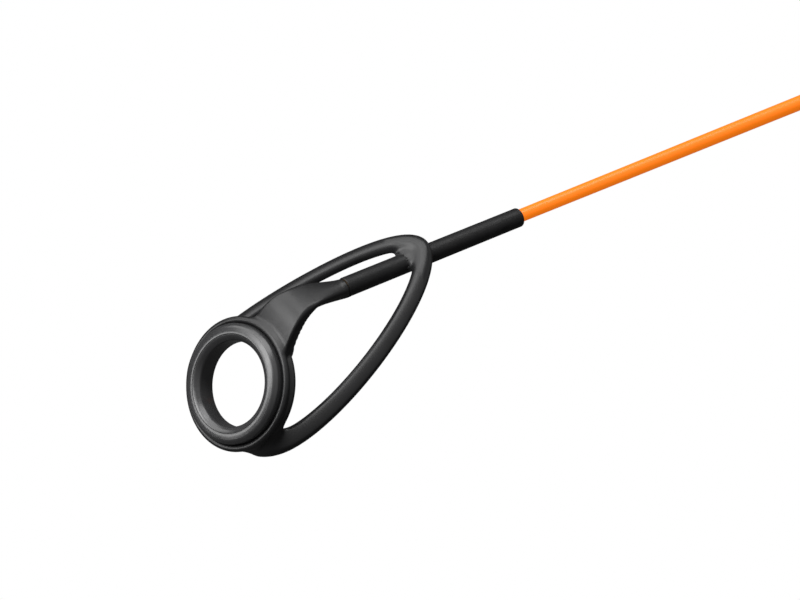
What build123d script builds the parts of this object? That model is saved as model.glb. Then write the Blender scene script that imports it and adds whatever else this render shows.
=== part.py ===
"""An ice fishing rod, 24 inches over all, in millimetres.

+X points to the tip, +Z up. The line guides and the reel hang below the blank, at -Z.
The origin is on the blank's axis at the middle of the rear grip, where a holder takes the rod.
Each function returns one sub-part, and the last lines write each to its own STEP file.
"""

from build123d import *
import math
import os

# ---------------------------------------------------------------- driving dimensions
# Blank: one solid tapered glass rod from the butt to the tip-top.
BLANK_BUTT_X = -49.0
BLANK_TIP_X = 535.0
BLANK_TAPER = 0.0073  # diameter lost for each millimetre towards the tip
BLANK_AT_MOUTH = 1.40  # diameter where it enters the tip-top's tube

# Tip-top: the end guide. Its own origin is the tube's front end, on the tube's axis.
TIP_TOP_X = 536.2
TIP_TOP_DROP = 0.10  # the tube sits this much low on the blank, in its cement
TUBE_LENGTH = 23.1
TUBE_R = 1.03
TUBE_BORE_R = 0.86
TUBE_LIP = 0.07
WELD_LENGTH = 0.5
TIP_RING_X = 11.83
TIP_RING_Z = -7.79
TIP_RING_LEAN = 29.3  # the ring's axis points this many degrees above +X
TIP_RING_D = 12.0

# Ring section, shared by all guides, as distances from the seat radius or the mid-plane.
RING_WIDTH = 1.80
RING_THICK = 2.78
RING_ROUND = 0.45
LIP_BEAD_R = 0.36
LIP_BEAD_W = 0.15
BAND_WALL = 0.40
BAND_BACK = -1.05
BACK_BEAD_R = 0.28
BACK_BEAD_W = -0.80

# Tip-top frame: two arms in a teardrop, a web at the apex and a tongue from ring to tube.
ARM_WIDTH = 1.92
ARM_BELLY = 1.55  # keeps the band as wide between its ends as at them
ARM_THICK = 0.95
APEX_X = -9.26
APEX_Z = 1.32
ARM_ROOT_X = 12.66
ARM_ROOT_Y = 5.89
ARM_APEX_REACH = 5.00
ARM_ROOT_REACH = 4.80
ARM_ROOT_TURN = 54.2
ARM_SLOPE = 30.0
ARM_SAG = 0.59
ARM_SAG_SPAN = 20.14
WEB_FRONT_X = -7.6
WEB_THICK = 0.60
TONGUE_THICK = 0.80
TONGUE_FOOT = (8.50, -3.00)  # where it ends inside the ring's collar, seen from the side
TONGUE_SHOULDER = (7.54, 2.67)
TONGUE_NECK = (3.72, 0.94)
TONGUE_END = (-0.10, 0.42)
TONGUE_EDGE = [(9.30, 3.00), (5.97, 1.69), (6.24, 1.63), (-0.10, 1.00)]

# Running guides: ring diameter and place of each, from the reel to the tip.
GUIDES = {"guide_1": (20.0, 262.0), "guide_2": (16.0, 362.0), "guide_3": (12.0, 450.0)}
GUIDE_LEAN = 12.0
GUIDE_STANCE = 0.72  # gap under the blank to the ring seat, as a share of the ring's radius
GUIDE_GAP = 1.2  # what is added to that gap on every guide
GUIDE_FRONT = 0.30  # the front foot starts this share of the ring's drop ahead of the ring
GUIDE_REAR = 0.95  # and the rear foot this share behind it
GUIDE_BITE = 1.0  # how far the legs reach past the ring's centre, into its holder
LEG_THICK = 1.05
LEG_WIDTH = 1.60
FOOT_LENGTH = 9.0
FOOT_WIDTH = 2.0
FOOT_THICK = 0.60
FOOT_BITE = 0.4  # how far a foot reaches into the blank before it is cut to fit
WRAP_COVER = 0.28
WRAP_PAST_FOOT = 3.0
WRAP_BARE_FOOT = 1.6  # what the thread leaves bare next to the legs
WRAP_SLOPE = 0.8
COAT_COVER = 0.14
COAT_PAST_WRAP = 0.9
COAT_SLOPE = 1.5
SLEEVE_EASE = 0.06  # how far a sleeve's inside stands off the blank
SLEEVE_FOOT = FOOT_THICK + 0.25  # the extra depth that covers a foot
SLEEVE_END = 0.1  # the share of its cover left at a sleeve's end

# Hook keeper: a small strap under the blank that holds a folding wire loop.
KEEPER_X = 203.0
KEEPER_LENGTH = 20.0
KEEPER_EYE_R = 1.05
KEEPER_EYE_WIDTH = 3.0
KEEPER_WIRE_R = 0.45
KEEPER_CLEARANCE = 0.06
KEEPER_LOOP_WIDTH = 7.4
KEEPER_LOOP_HEIGHT = 8.0
KEEPER_SHOULDER_R = 1.3
KEEPER_BOTTOM_R = 3.0
KEEPER_WRAP_PAST = 2.0
KEEPER_BARE_HALF = 3.0  # the bare middle of the strap, each side of the eye

# Handle, from the butt forward.
GRIP_R = 12.5
REAR_GRIP_HALF = 45.0
GRIP_ROUND = 1.6
BUTT_CAP_R = 12.3
BUTT_CAP_LENGTH = 12.0
BUTT_ROUND = 5.0
TRIM_WIDTH = 3.0
TRIM_R = 10.6
TRIM_CHAMFER = 0.5
SEAT_LENGTH = 104.0
COLLAR_R = 9.9
COLLAR_LENGTH = 4.0
SEAT_R = 8.5
SEAT_BORE_R = 5.0
THREAD_LENGTH = 38.0
THREAD_ROOT_R = 7.75
THREAD_PITCH = 2.0
THREAD_CREST = 0.20  # width of the ridge's top, as a share of the pitch
THREAD_ROOT = 0.62  # and of its foot
THREAD_BITE = 0.15  # how far the ridge reaches into the barrel
KEYWAY_WIDTH = 2.6
KEYWAY_FLOOR = 7.2
FLAT_REAR = 24.0  # where the flat under the barrel begins, from the seat's rear end
FLAT_Z = -6.0
FLAT_RELIEF = 0.25
SADDLE_START = 2.0  # from the thread's end to the raised saddle
SADDLE_END = 0.5  # from the raised saddle to the fixed hood
FORE_GRIP_LENGTH = 27.0
FORE_GRIP_FRONT_R = 6.2
FORE_GRIP_REAR_R = 10.4
CHECK_LENGTH = 4.0
CHECK_RIM = 1.2
CHECK_REAR_R = 5.6
CHECK_FRONT_R = 2.9
ARBOR_LENGTH = 16.0
ARBOR_INSET = 4.0

# Hoods and lock nut.
RUNNING_GAP = 0.06
HOOD_WALL = 0.9
HOOD_LENGTH = 20.0
HOOD_POCKET_DEPTH = 10.5
HOOD_POCKET_WIDTH = 14.4
HOOD_POCKET_FLOOR = -11.6
HOOD_BACK = 1.6
HOOD_OUTER_ROUND = 3.2
HOOD_POCKET_ROUND = 2.0
HOOD_CHAMFER = 3.0
KEY_SIDE_GAP = 0.1
KEY_DEPTH_GAP = 0.15
KEY_BITE = 0.3  # how far the key reaches into the hood's wall
FIXED_HOOD_LENGTH = 16.0
NUT_LENGTH = 12.5
NUT_R = 10.6
NUT_GAP = 0.15
NUT_GROOVES = 24
NUT_GROOVE_R = 0.75
NUT_GROOVE_OUT = 0.34  # how far a groove's centre stands outside the nut
NUT_CHAMFER = 0.5
HOOD_REST = 17.5  # rear end of the sliding hood from the seat's rear end, fully open

# ---------------------------------------------------------------- derived places
SEAT_REAR_X = REAR_GRIP_HALF + TRIM_WIDTH
SEAT_FRONT_X = SEAT_REAR_X + SEAT_LENGTH
FORE_GRIP_X = SEAT_FRONT_X + TRIM_WIDTH
CHECK_X = FORE_GRIP_X + FORE_GRIP_LENGTH
HOOD_X = SEAT_REAR_X + HOOD_REST
FIXED_HOOD_X = SEAT_FRONT_X - COLLAR_LENGTH - FIXED_HOOD_LENGTH
MOUTH_X = TIP_TOP_X - TUBE_LENGTH
BEYOND = 40.0  # longer than anything that a cutting block has to pass through


def blank_radius(x):
    """The blank's radius at a place along the rod."""
    return (BLANK_AT_MOUTH + BLANK_TAPER * (MOUTH_X - x)) / 2


def turned(points):
    """A solid turned about the X axis from (x, radius) corners."""
    return revolve(make_face(Polyline(*[(x, r) for x, r in points], close=True)), Axis.X)


def rod(x_from, x_to, radius):
    """A plain cylinder along X."""
    return turned([(x_from, 0), (x_to, 0), (x_to, radius), (x_from, radius)])


def sleeve(x_from, x_to, inner, outer):
    """A plain tube along X."""
    return turned([(x_from, inner), (x_to, inner), (x_to, outer), (x_from, outer)])


def sheet_band(corners, half_start, half_end, level=Plane.XY, belly=1.0):
    """A flat face along one cubic curve, as wide as twice the half width at each end; belly widens it between."""
    sides = [Vector(*b) - Vector(*a) for a, b in zip(corners, corners[1:])]
    normals = [Vector(-s.Y, s.X).normalized() for s in sides]
    turns = [normals[0], normals[0] + normals[1], normals[1] + normals[2], normals[2]]
    halves = [half_start + (half_end - half_start) * i / 3 for i in range(4)]
    halves[1] *= belly
    halves[2] *= belly
    left = []
    right = []
    for corner, turn, half in zip(corners, turns, halves):
        left.append(Vector(*corner) + turn.normalized() * half)
        right.append(Vector(*corner) - turn.normalized() * half)
    outline = [Bezier(*left), Line(left[3], right[3]), Bezier(*reversed(right)), Line(right[0], left[0])]
    return level * make_face(outline)


# ---------------------------------------------------------------- blank and tip-top
def blank():
    """The tapered rod, cut square at both ends."""
    ends = [(BLANK_BUTT_X, blank_radius(BLANK_BUTT_X)), (BLANK_TIP_X, blank_radius(BLANK_TIP_X))]
    return turned([(BLANK_BUTT_X, 0), (BLANK_TIP_X, 0), ends[1], ends[0]])


def ring_plane(x, z, lean):
    """The ring's mid-plane, with its axis leaning up from +X."""
    tilt = math.radians(lean)
    return Plane(origin=(x, 0, z), x_dir=(0, 1, 0), z_dir=(math.cos(tilt), 0, math.sin(tilt)))


def ring_section(x, width, z, height):
    """An upright rectangle in a ring's section: distance from the axis, and height along it."""
    return Pos(x + width / 2, z + height / 2) * Rectangle(width, height)


def ceramic_ring(diameter):
    """The hard ring insert, about the Z axis: a tube wall with well-rounded edges."""
    inner = diameter / 2 - RING_WIDTH
    section = ring_section(inner, RING_WIDTH, -RING_THICK / 2, RING_THICK)
    section = fillet(section.vertices(), RING_ROUND)
    return revolve(Plane.XZ * section, Axis.Z)


def ring_holder(diameter):
    """The drawn collar round the ring, about the Z axis: a rolled lip, a band and a back bead."""
    seat = diameter / 2
    lip = Pos(seat + LIP_BEAD_R, LIP_BEAD_W) * Circle(LIP_BEAD_R)
    band = ring_section(seat, BAND_WALL, BAND_BACK, LIP_BEAD_W - BAND_BACK)
    back = Pos(seat + BAND_WALL, BACK_BEAD_W) * Circle(BACK_BEAD_R)
    return revolve(Plane.XZ * (lip + band + back), Axis.Z)


def arm_height(x):
    """The height of the sheet that arms and web lie in: a slope with a slight sag."""
    share = (x - APEX_X) / ARM_SAG_SPAN
    return APEX_Z - (x - APEX_X) * math.tan(math.radians(ARM_SLOPE)) - 4 * ARM_SAG * share * (1 - share)


def arm_plate(thickness):
    """The gently sagging slab that both arms and the web are cut from."""
    stations = [APEX_X - 2 + i * (ARM_ROOT_X - APEX_X + 4) / 4 for i in range(5)]
    lift = thickness / 2 / math.cos(math.radians(ARM_SLOPE))
    top = Spline(*[(x, arm_height(x) + lift) for x in stations])
    low = Spline(*[(x, arm_height(x) - lift) for x in stations])
    outline = [top, Line(top @ 1, low @ 1), low, Line(low @ 0, top @ 0)]
    return extrude(Plane.XZ * make_face(outline), amount=BEYOND, both=True)


def arm_corners():
    """The arm's centre line in plan, from the apex to the ring, as a cubic curve's corners."""
    turn = math.radians(ARM_ROOT_TURN)
    root_x = ARM_ROOT_X - ARM_ROOT_REACH * math.cos(turn)
    root_y = ARM_ROOT_Y + ARM_ROOT_REACH * math.sin(turn)
    return [(APEX_X, 0), (APEX_X, ARM_APEX_REACH), (root_x, root_y), (ARM_ROOT_X, ARM_ROOT_Y)]


def tip_top_arms():
    """Both arms and the thin web that joins them round the tube."""
    one_arm = sheet_band(arm_corners(), ARM_WIDTH / 2, ARM_WIDTH / 2, belly=ARM_BELLY)
    arms = extrude(one_arm + mirror(one_arm, Plane.XZ), amount=BEYOND, both=True)
    arms = arms & arm_plate(ARM_THICK)
    loop = [Bezier(*[Vector(x, side * y) for x, y in arm_corners()]) for side in (1, -1)]
    inside = make_face([*loop, Line(loop[0] @ 1, loop[1] @ 1)])
    behind = Pos(WEB_FRONT_X - BEYOND / 2, 0) * Rectangle(BEYOND, BEYOND)
    web = extrude(inside & behind, amount=BEYOND, both=True)
    return arms + (web & arm_plate(WEB_THICK))


def tip_top_tongue():
    """The spoon-shaped strip from the top of the ring to the tube's front end."""
    side = [TONGUE_FOOT, TONGUE_SHOULDER, TONGUE_NECK, TONGUE_END]
    slab = extrude(sheet_band(side, TONGUE_THICK / 2, TONGUE_THICK / 2, Plane.XZ), amount=BEYOND, both=True)
    edge = Bezier(*[Vector(*corner) for corner in TONGUE_EDGE])
    middle = Line(((edge @ 1).X, 0), ((edge @ 0).X, 0))
    plan = make_face([middle, Line(middle @ 1, edge @ 0), edge, Line(edge @ 1, middle @ 0)])
    return extrude(plan + mirror(plan, Plane.XZ), amount=BEYOND, both=True) & slab


def tip_top_tube():
    """The tube that slips over the blank, with eased ends, on its own axis."""
    return turned(
        [
            (-TUBE_LENGTH, TUBE_BORE_R),
            (0, TUBE_BORE_R),
            (0, TUBE_R - TUBE_LIP),
            (-TUBE_LIP, TUBE_R),
            (TUBE_LIP - TUBE_LENGTH, TUBE_R),
            (-TUBE_LENGTH, TUBE_R - TUBE_LIP),
        ]
    )


def tip_top_frame():
    """Holder, tongue, arms and web in one pressing, with the weld that closes the tube."""
    place = ring_plane(TIP_RING_X, TIP_RING_Z, TIP_RING_LEAN)
    inside_seat = place * Cylinder(TIP_RING_D / 2, 2 * RING_THICK)
    around = tip_top_arms() + tip_top_tongue() - inside_seat - rod(-TUBE_LENGTH, 0, TUBE_R)
    weld = rod(0, WELD_LENGTH, TUBE_R - TUBE_LIP) - inside_seat
    return around + weld + place * ring_holder(TIP_RING_D)


def tip_top_cement():
    """The cement between the tube and the blank, thicker below than above."""
    filling = rod(-TUBE_LENGTH, 0, TUBE_BORE_R)
    return in_place(filling) - blank()


def in_place(shape):
    """A tip-top piece moved from the tube's own axis to the end of the rod."""
    return Pos(TIP_TOP_X, 0, -TIP_TOP_DROP) * shape


# ---------------------------------------------------------------- running guides
def guide_drop(diameter, x):
    """How far the ring's centre hangs below the blank's axis."""
    return blank_radius(x) + diameter / 2 * (1 + GUIDE_STANCE) + GUIDE_GAP


def guide_front_leg(diameter, x):
    """The leg from the top of the ring's holder forward to its foot, about the guide's own place."""
    drop = guide_drop(diameter, x)
    tilt = math.radians(GUIDE_LEAN)
    sunk = GUIDE_BITE / 2
    top_x = -diameter / 2 * math.sin(tilt) - sunk * math.cos(tilt)
    top_z = -drop + diameter / 2 * math.cos(tilt) - sunk * math.sin(tilt)
    foot_x = GUIDE_FRONT * drop
    foot_z = -blank_radius(x) - FOOT_THICK / 2
    side = [(top_x, top_z), (top_x + 0.4, top_z + 1.8), (foot_x - 2.6, foot_z), (foot_x + 1.2, foot_z)]
    slab = extrude(sheet_band(side, LEG_THICK / 2, FOOT_THICK / 2, Plane.XZ), amount=BEYOND, both=True)
    return slab & Box(2 * BEYOND, 2 * LEG_WIDTH, 2 * BEYOND)


def guide_rear_legs(diameter, x):
    """The two splayed legs from the holder's sides up and back to their foot."""
    drop = guide_drop(diameter, x)
    outer = diameter / 2 + 2 * LIP_BEAD_R
    low = -drop - GUIDE_BITE
    foot_x = -GUIDE_REAR * drop
    foot_z = -blank_radius(x) - FOOT_THICK / 2
    side = [(-0.6, low), (-0.25 * drop, -0.6 * drop), (foot_x + 3.2, foot_z), (foot_x - 1.2, foot_z)]
    slab = extrude(sheet_band(side, LEG_THICK / 2, FOOT_THICK / 2, Plane.XZ), amount=BEYOND, both=True)
    top = (FOOT_WIDTH / 4, -blank_radius(x))
    splay = [top, (FOOT_WIDTH / 2, -0.35 * drop), (outer * 0.98, -0.62 * drop), (outer - LIP_BEAD_R, low)]
    leg = Plane.YZ * sheet_band(splay, LEG_WIDTH / 2, LEG_WIDTH / 2)
    return extrude(leg + mirror(leg, Plane.XZ), amount=BEYOND, both=True) & slab


def guide_frame(diameter, x):
    """Ring holder, one front leg, two splayed rear legs, and a foot at each end."""
    drop = guide_drop(diameter, x)
    place = ring_plane(x, -drop, GUIDE_LEAN)
    foot = Box(FOOT_LENGTH, FOOT_WIDTH, FOOT_THICK + FOOT_BITE)
    foot_z = -blank_radius(x) + (FOOT_BITE - FOOT_THICK) / 2
    front_foot = Pos(GUIDE_FRONT * drop + FOOT_LENGTH / 2, 0, foot_z) * foot
    rear_foot = Pos(-GUIDE_REAR * drop - FOOT_LENGTH / 2, 0, foot_z) * foot
    metal = guide_front_leg(diameter, x) + guide_rear_legs(diameter, x) + front_foot + rear_foot
    metal = Pos(x, 0, 0) * metal - place * Cylinder(diameter / 2, 2 * RING_THICK) - blank()
    return metal + place * ring_holder(diameter)


def guide_ring(diameter, x):
    """The hard ring in a running guide."""
    return ring_plane(x, -guide_drop(diameter, x), GUIDE_LEAN) * ceramic_ring(diameter)


def oval_sleeve(x_from, x_to, cover, ends):
    """A sleeve round blank and foot, oval, with its ends sloping down over a short length."""
    radius = blank_radius((x_from + x_to) / 2)
    sections = []
    for x, rise in ((x_from, SLEEVE_END), (x_from + ends, 1), (x_to - ends, 1), (x_to, SLEEVE_END)):
        half_width = radius + SLEEVE_EASE + cover * rise
        half_height = half_width + SLEEVE_FOOT / 2 * (0.35 + 0.65 * rise)
        level = Plane(origin=(x, 0, half_width - half_height), x_dir=(0, 1, 0), z_dir=(1, 0, 0))
        sections.append(level * Ellipse(half_width, half_height))
    return loft(sections, ruled=True)


def foot_spans(diameter, x):
    """Where the two wraps of a running guide lie."""
    drop = guide_drop(diameter, x)
    front_x = x + GUIDE_FRONT * drop
    rear_x = x - GUIDE_REAR * drop
    front = (front_x + WRAP_BARE_FOOT, front_x + FOOT_LENGTH + WRAP_PAST_FOOT)
    rear = (rear_x - FOOT_LENGTH - WRAP_PAST_FOOT, rear_x - WRAP_BARE_FOOT)
    return [rear, front]


def wraps(spans, metal):
    """Thread wound over the feet, one sleeve for each foot."""
    made = [oval_sleeve(a, b, WRAP_COVER, WRAP_SLOPE) - blank() - metal for a, b in spans]
    return Compound(children=[solid for piece in made for solid in piece.solids()])


def coats(spans, metal, thread):
    """The clear resin over the thread, which runs out onto the blank at both ends."""
    made = []
    for a, b in spans:
        coat = oval_sleeve(a - COAT_PAST_WRAP, b + COAT_PAST_WRAP, WRAP_COVER + COAT_COVER, COAT_SLOPE)
        coat = coat - blank() - metal - thread
        made.extend(coat.solids())
    return Compound(children=made)


# ---------------------------------------------------------------- hook keeper
def keeper_eye_z():
    """The height of the keeper's pivot, below the blank."""
    return -blank_radius(KEEPER_X) - FOOT_THICK - KEEPER_EYE_R + FOOT_BITE / 2


def keeper_strap():
    """A thin strap under the blank with a rolled eye at its middle."""
    strap_z = -blank_radius(KEEPER_X) + (FOOT_BITE - FOOT_THICK) / 2
    strap = Pos(KEEPER_X, 0, strap_z) * Box(KEEPER_LENGTH, FOOT_WIDTH, FOOT_THICK + FOOT_BITE)
    pivot = Pos(KEEPER_X, 0, keeper_eye_z()) * Rot(90, 0, 0)
    eye = pivot * Cylinder(KEEPER_EYE_R, KEEPER_EYE_WIDTH)
    hole = pivot * Cylinder(KEEPER_WIRE_R + KEEPER_CLEARANCE, BEYOND)
    return strap + eye - hole - blank()


def keeper_loop():
    """The folding wire loop, hanging straight down from its eye."""
    half = KEEPER_LOOP_WIDTH / 2
    corners = [(-half, 0), (half, 0), (half, -KEEPER_LOOP_HEIGHT), (-half, -KEEPER_LOOP_HEIGHT)]
    rounds = [KEEPER_SHOULDER_R, KEEPER_SHOULDER_R, KEEPER_BOTTOM_R, KEEPER_BOTTOM_R]
    path = FilletPolyline(*corners, radius=rounds, close=True)
    start = Plane(origin=(0, -KEEPER_LOOP_HEIGHT, 0), x_dir=(0, 1, 0), z_dir=(1, 0, 0))
    wire = sweep(start * Circle(KEEPER_WIRE_R), path=path)
    return Plane(origin=(KEEPER_X, 0, keeper_eye_z()), x_dir=(0, 1, 0), z_dir=(1, 0, 0)) * wire


def keeper_spans():
    """Where the keeper's two wraps lie."""
    reach = KEEPER_LENGTH / 2 + KEEPER_WRAP_PAST
    rear = (KEEPER_X - reach, KEEPER_X - KEEPER_BARE_HALF)
    front = (KEEPER_X + KEEPER_BARE_HALF, KEEPER_X + reach)
    return [rear, front]


# ---------------------------------------------------------------- handle
def butt_cap():
    """The rubber cap over the rear grip's end."""
    rear = -REAR_GRIP_HALF - BUTT_CAP_LENGTH
    cap = rod(rear, -REAR_GRIP_HALF, BUTT_CAP_R)
    cap = fillet(cap.edges().group_by(Axis.X)[0], BUTT_ROUND)
    return cap - blank()


def rear_grip():
    """The straight foam grip."""
    grip = rod(-REAR_GRIP_HALF, REAR_GRIP_HALF, GRIP_R)
    grip = fillet(grip.edges().group_by(Axis.X)[-1], GRIP_ROUND)
    return grip - blank()


def trim_ring(x):
    """A thin metal ring between a grip and the reel seat."""
    ring = rod(x, x + TRIM_WIDTH, TRIM_R)
    rims = ring.edges().group_by(Axis.X)
    ring = chamfer(rims[0] + rims[-1], TRIM_CHAMFER)
    return ring - blank()


def thread_ridge():
    """The helical ridge of the seat's right-hand thread, in the seat's own frame along Z."""
    helix = Helix(pitch=THREAD_PITCH, height=THREAD_LENGTH - 2 * THREAD_PITCH, radius=THREAD_ROOT_R)
    depth = SEAT_R - THREAD_ROOT_R
    crest = THREAD_PITCH * THREAD_CREST / 2
    root = THREAD_PITCH * THREAD_ROOT / 2
    corners = [(-THREAD_BITE, -root), (depth, -crest), (depth, crest), (-THREAD_BITE, root)]
    outline = Polyline(*corners, close=True)
    section = Plane(origin=(THREAD_ROOT_R, 0, 0), x_dir=(1, 0, 0), z_dir=(0, -1, 0)) * make_face(outline)
    return sweep(section, path=helix, is_frenet=True)


def seat_space(x):
    """The seat's own frame: Z runs forward along the rod from a place x, X points up."""
    return Plane(origin=(x, 0, 0), x_dir=(0, 0, 1), z_dir=(1, 0, 0))


def reel_seat_body():
    """The hollow barrel: threaded at the rear, with a flat saddle under its front half."""
    thread_end = SEAT_REAR_X + COLLAR_LENGTH + THREAD_LENGTH
    saddle_front = SEAT_FRONT_X - COLLAR_LENGTH
    barrel = turned(
        [
            (SEAT_REAR_X, SEAT_BORE_R),
            (SEAT_FRONT_X, SEAT_BORE_R),
            (SEAT_FRONT_X, COLLAR_R),
            (saddle_front, COLLAR_R),
            (saddle_front, SEAT_R),
            (thread_end, SEAT_R),
            (thread_end, THREAD_ROOT_R),
            (SEAT_REAR_X + COLLAR_LENGTH, THREAD_ROOT_R),
            (SEAT_REAR_X + COLLAR_LENGTH, COLLAR_R),
            (SEAT_REAR_X, COLLAR_R),
        ]
    )
    flat_rear = SEAT_REAR_X + FLAT_REAR
    relief_z = FLAT_Z + FLAT_RELIEF
    under = Box(saddle_front - flat_rear, BEYOND, BEYOND, align=(Align.MIN, Align.CENTER, Align.MAX))
    under = Pos(flat_rear, 0, relief_z) * under
    raised = sleeve(thread_end + SADDLE_START, FIXED_HOOD_X - SADDLE_END, SEAT_BORE_R, SEAT_R)
    layer = Box(SEAT_LENGTH, BEYOND, relief_z - FLAT_Z, align=(Align.MIN, Align.CENTER, Align.MIN))
    raised = raised & Pos(SEAT_REAR_X, 0, FLAT_Z) * layer
    ridge = seat_space(SEAT_REAR_X + COLLAR_LENGTH + THREAD_PITCH) * thread_ridge()
    keyway_length = FIXED_HOOD_X - SEAT_REAR_X - COLLAR_LENGTH
    keyway = Box(keyway_length, KEYWAY_WIDTH, BEYOND, align=(Align.MIN, Align.CENTER, Align.MIN))
    keyway = Pos(SEAT_REAR_X + COLLAR_LENGTH, 0, KEYWAY_FLOOR) * keyway
    return (barrel + ridge) - under - keyway + (raised - keyway)


def seat_arbors():
    """Two bushings that centre the seat on the blank."""
    starts = [SEAT_REAR_X + ARBOR_INSET, SEAT_FRONT_X - ARBOR_INSET - ARBOR_LENGTH]
    made = [rod(x, x + ARBOR_LENGTH, SEAT_BORE_R) - blank() for x in starts]
    return Compound(children=[solid for piece in made for solid in piece.solids()])


def hood(length, bore):
    """A hood along +X from 0, with its pocket open at the front, under the barrel."""
    outer = bore + HOOD_WALL
    shell = rod(0, length, outer)
    bulge_length = HOOD_POCKET_DEPTH + HOOD_BACK
    bulge_width = HOOD_POCKET_WIDTH + 2 * HOOD_WALL
    bulge_height = -HOOD_POCKET_FLOOR + HOOD_WALL
    bulge = Box(bulge_length, bulge_width, bulge_height)
    bulge = Pos(length - bulge_length / 2, 0, -bulge_height / 2) * bulge
    bulge = fillet(bulge.edges().filter_by(Axis.X).group_by(Axis.Z)[0], HOOD_OUTER_ROUND)
    bulge = chamfer(bulge.edges().group_by(Axis.X)[0].group_by(Axis.Z)[0], HOOD_CHAMFER)
    pocket_height = -HOOD_POCKET_FLOOR
    pocket = Pos(length - HOOD_POCKET_DEPTH / 2, 0, -pocket_height / 2)
    pocket = pocket * Box(HOOD_POCKET_DEPTH, HOOD_POCKET_WIDTH, pocket_height)
    pocket = fillet(pocket.edges().filter_by(Axis.X).group_by(Axis.Z)[0], HOOD_POCKET_ROUND)
    return shell + bulge - pocket - rod(-1, length + 1, bore)


def sliding_hood():
    """The hood that clamps the rear of a reel foot, keyed to the seat's keyway."""
    bore = SEAT_R + RUNNING_GAP
    key_width = KEYWAY_WIDTH - 2 * KEY_SIDE_GAP
    key_height = bore - KEYWAY_FLOOR - KEY_DEPTH_GAP + KEY_BITE
    key = Box(HOOD_LENGTH - 2, key_width, key_height, align=(Align.MIN, Align.CENTER, Align.MAX))
    key = Pos(1, 0, bore + KEY_BITE) * key
    return Pos(HOOD_X, 0, 0) * (hood(HOOD_LENGTH, bore) + key)


def fixed_hood():
    """The hood bonded to the seat, with its pocket facing the sliding one."""
    turned_round = Rot(0, 0, 180) * hood(FIXED_HOOD_LENGTH, SEAT_R)
    return Pos(FIXED_HOOD_X + FIXED_HOOD_LENGTH, 0, 0) * turned_round


def lock_nut():
    """The ribbed nut behind the sliding hood."""
    rear = HOOD_X - NUT_GAP - NUT_LENGTH
    nut = sleeve(rear, rear + NUT_LENGTH, SEAT_R + RUNNING_GAP, NUT_R)
    rims = nut.edges().group_by(Axis.X)
    nut = chamfer(rims[0] + rims[-1], NUT_CHAMFER)
    groove = Pos(rear + NUT_LENGTH / 2, NUT_R + NUT_GROOVE_OUT, 0) * Rot(0, 90, 0)
    groove = groove * Cylinder(NUT_GROOVE_R, BEYOND)
    for step in range(NUT_GROOVES):
        nut = nut - Rot(360 / NUT_GROOVES * step, 0, 0) * groove
    return nut


def fore_grip():
    """The short tapered foam grip in front of the seat."""
    x = FORE_GRIP_X
    profile = [
        Line((x, 0), (x + FORE_GRIP_LENGTH, 0)),
        Line((x + FORE_GRIP_LENGTH, 0), (x + FORE_GRIP_LENGTH, FORE_GRIP_FRONT_R)),
        Bezier(
            (x + FORE_GRIP_LENGTH, FORE_GRIP_FRONT_R),
            (x + FORE_GRIP_LENGTH * 0.6, FORE_GRIP_FRONT_R + 0.2),
            (x + FORE_GRIP_LENGTH * 0.45, FORE_GRIP_REAR_R),
            (x, FORE_GRIP_REAR_R),
        ),
        Line((x, FORE_GRIP_REAR_R), (x, 0)),
    ]
    return revolve(make_face(profile), Axis.X) - blank()


def winding_check():
    """The metal cone that finishes the front of the grip."""
    x = CHECK_X
    front = x + CHECK_LENGTH
    rim = x + CHECK_RIM
    cone = turned([(x, 0), (front, 0), (front, CHECK_FRONT_R), (rim, CHECK_REAR_R), (x, CHECK_REAR_R)])
    return cone - blank()


# ---------------------------------------------------------------- write every sub-part
def all_parts():
    """Every sub-part by its name."""
    tip_ring = ring_plane(TIP_RING_X, TIP_RING_Z, TIP_RING_LEAN) * ceramic_ring(TIP_RING_D)
    parts = {
        "blank": blank(),
        "tip_top_frame": in_place(tip_top_frame()),
        "tip_top_tube": in_place(tip_top_tube()),
        "tip_top_ring": in_place(tip_ring),
        "tip_top_cement": tip_top_cement(),
        "hook_keeper_strap": keeper_strap(),
        "hook_keeper_loop": keeper_loop(),
        "butt_cap": butt_cap(),
        "rear_grip": rear_grip(),
        "rear_trim_ring": trim_ring(REAR_GRIP_HALF),
        "reel_seat_body": reel_seat_body(),
        "seat_arbors": seat_arbors(),
        "fixed_hood": fixed_hood(),
        "sliding_hood": sliding_hood(),
        "lock_nut": lock_nut(),
        "fore_trim_ring": trim_ring(SEAT_FRONT_X),
        "fore_grip": fore_grip(),
        "winding_check": winding_check(),
    }
    for name, (diameter, x) in GUIDES.items():
        frame = guide_frame(diameter, x)
        spans = foot_spans(diameter, x)
        thread = wraps(spans, frame)
        parts[name + "_frame"] = frame
        parts[name + "_ring"] = guide_ring(diameter, x)
        parts[name + "_wraps"] = thread
        parts[name + "_coats"] = coats(spans, frame, thread)
    strap = parts["hook_keeper_strap"]
    thread = wraps(keeper_spans(), strap)
    parts["hook_keeper_wraps"] = thread
    parts["hook_keeper_coats"] = coats(keeper_spans(), strap, thread)
    return parts


os.makedirs("parts", exist_ok=True)
for node, shape in all_parts().items():
    export_step(shape, f"parts/{node}.step")
    print(node, len(shape.solids()), round(shape.volume, 1))
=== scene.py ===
# %% [markdown]
# # An ice fishing rod
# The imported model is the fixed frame: it says where every sub-part is, in metres, with +X to the tip and
# +Z up. Here each part gets its finished surface and material. Lengths below are in millimetres, as on a
# drawing, and one function turns them into metres when a mesh is made.

# %% Load the frame
import math

import bmesh
import bpy
import numpy as np
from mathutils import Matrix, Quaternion, Vector


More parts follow.
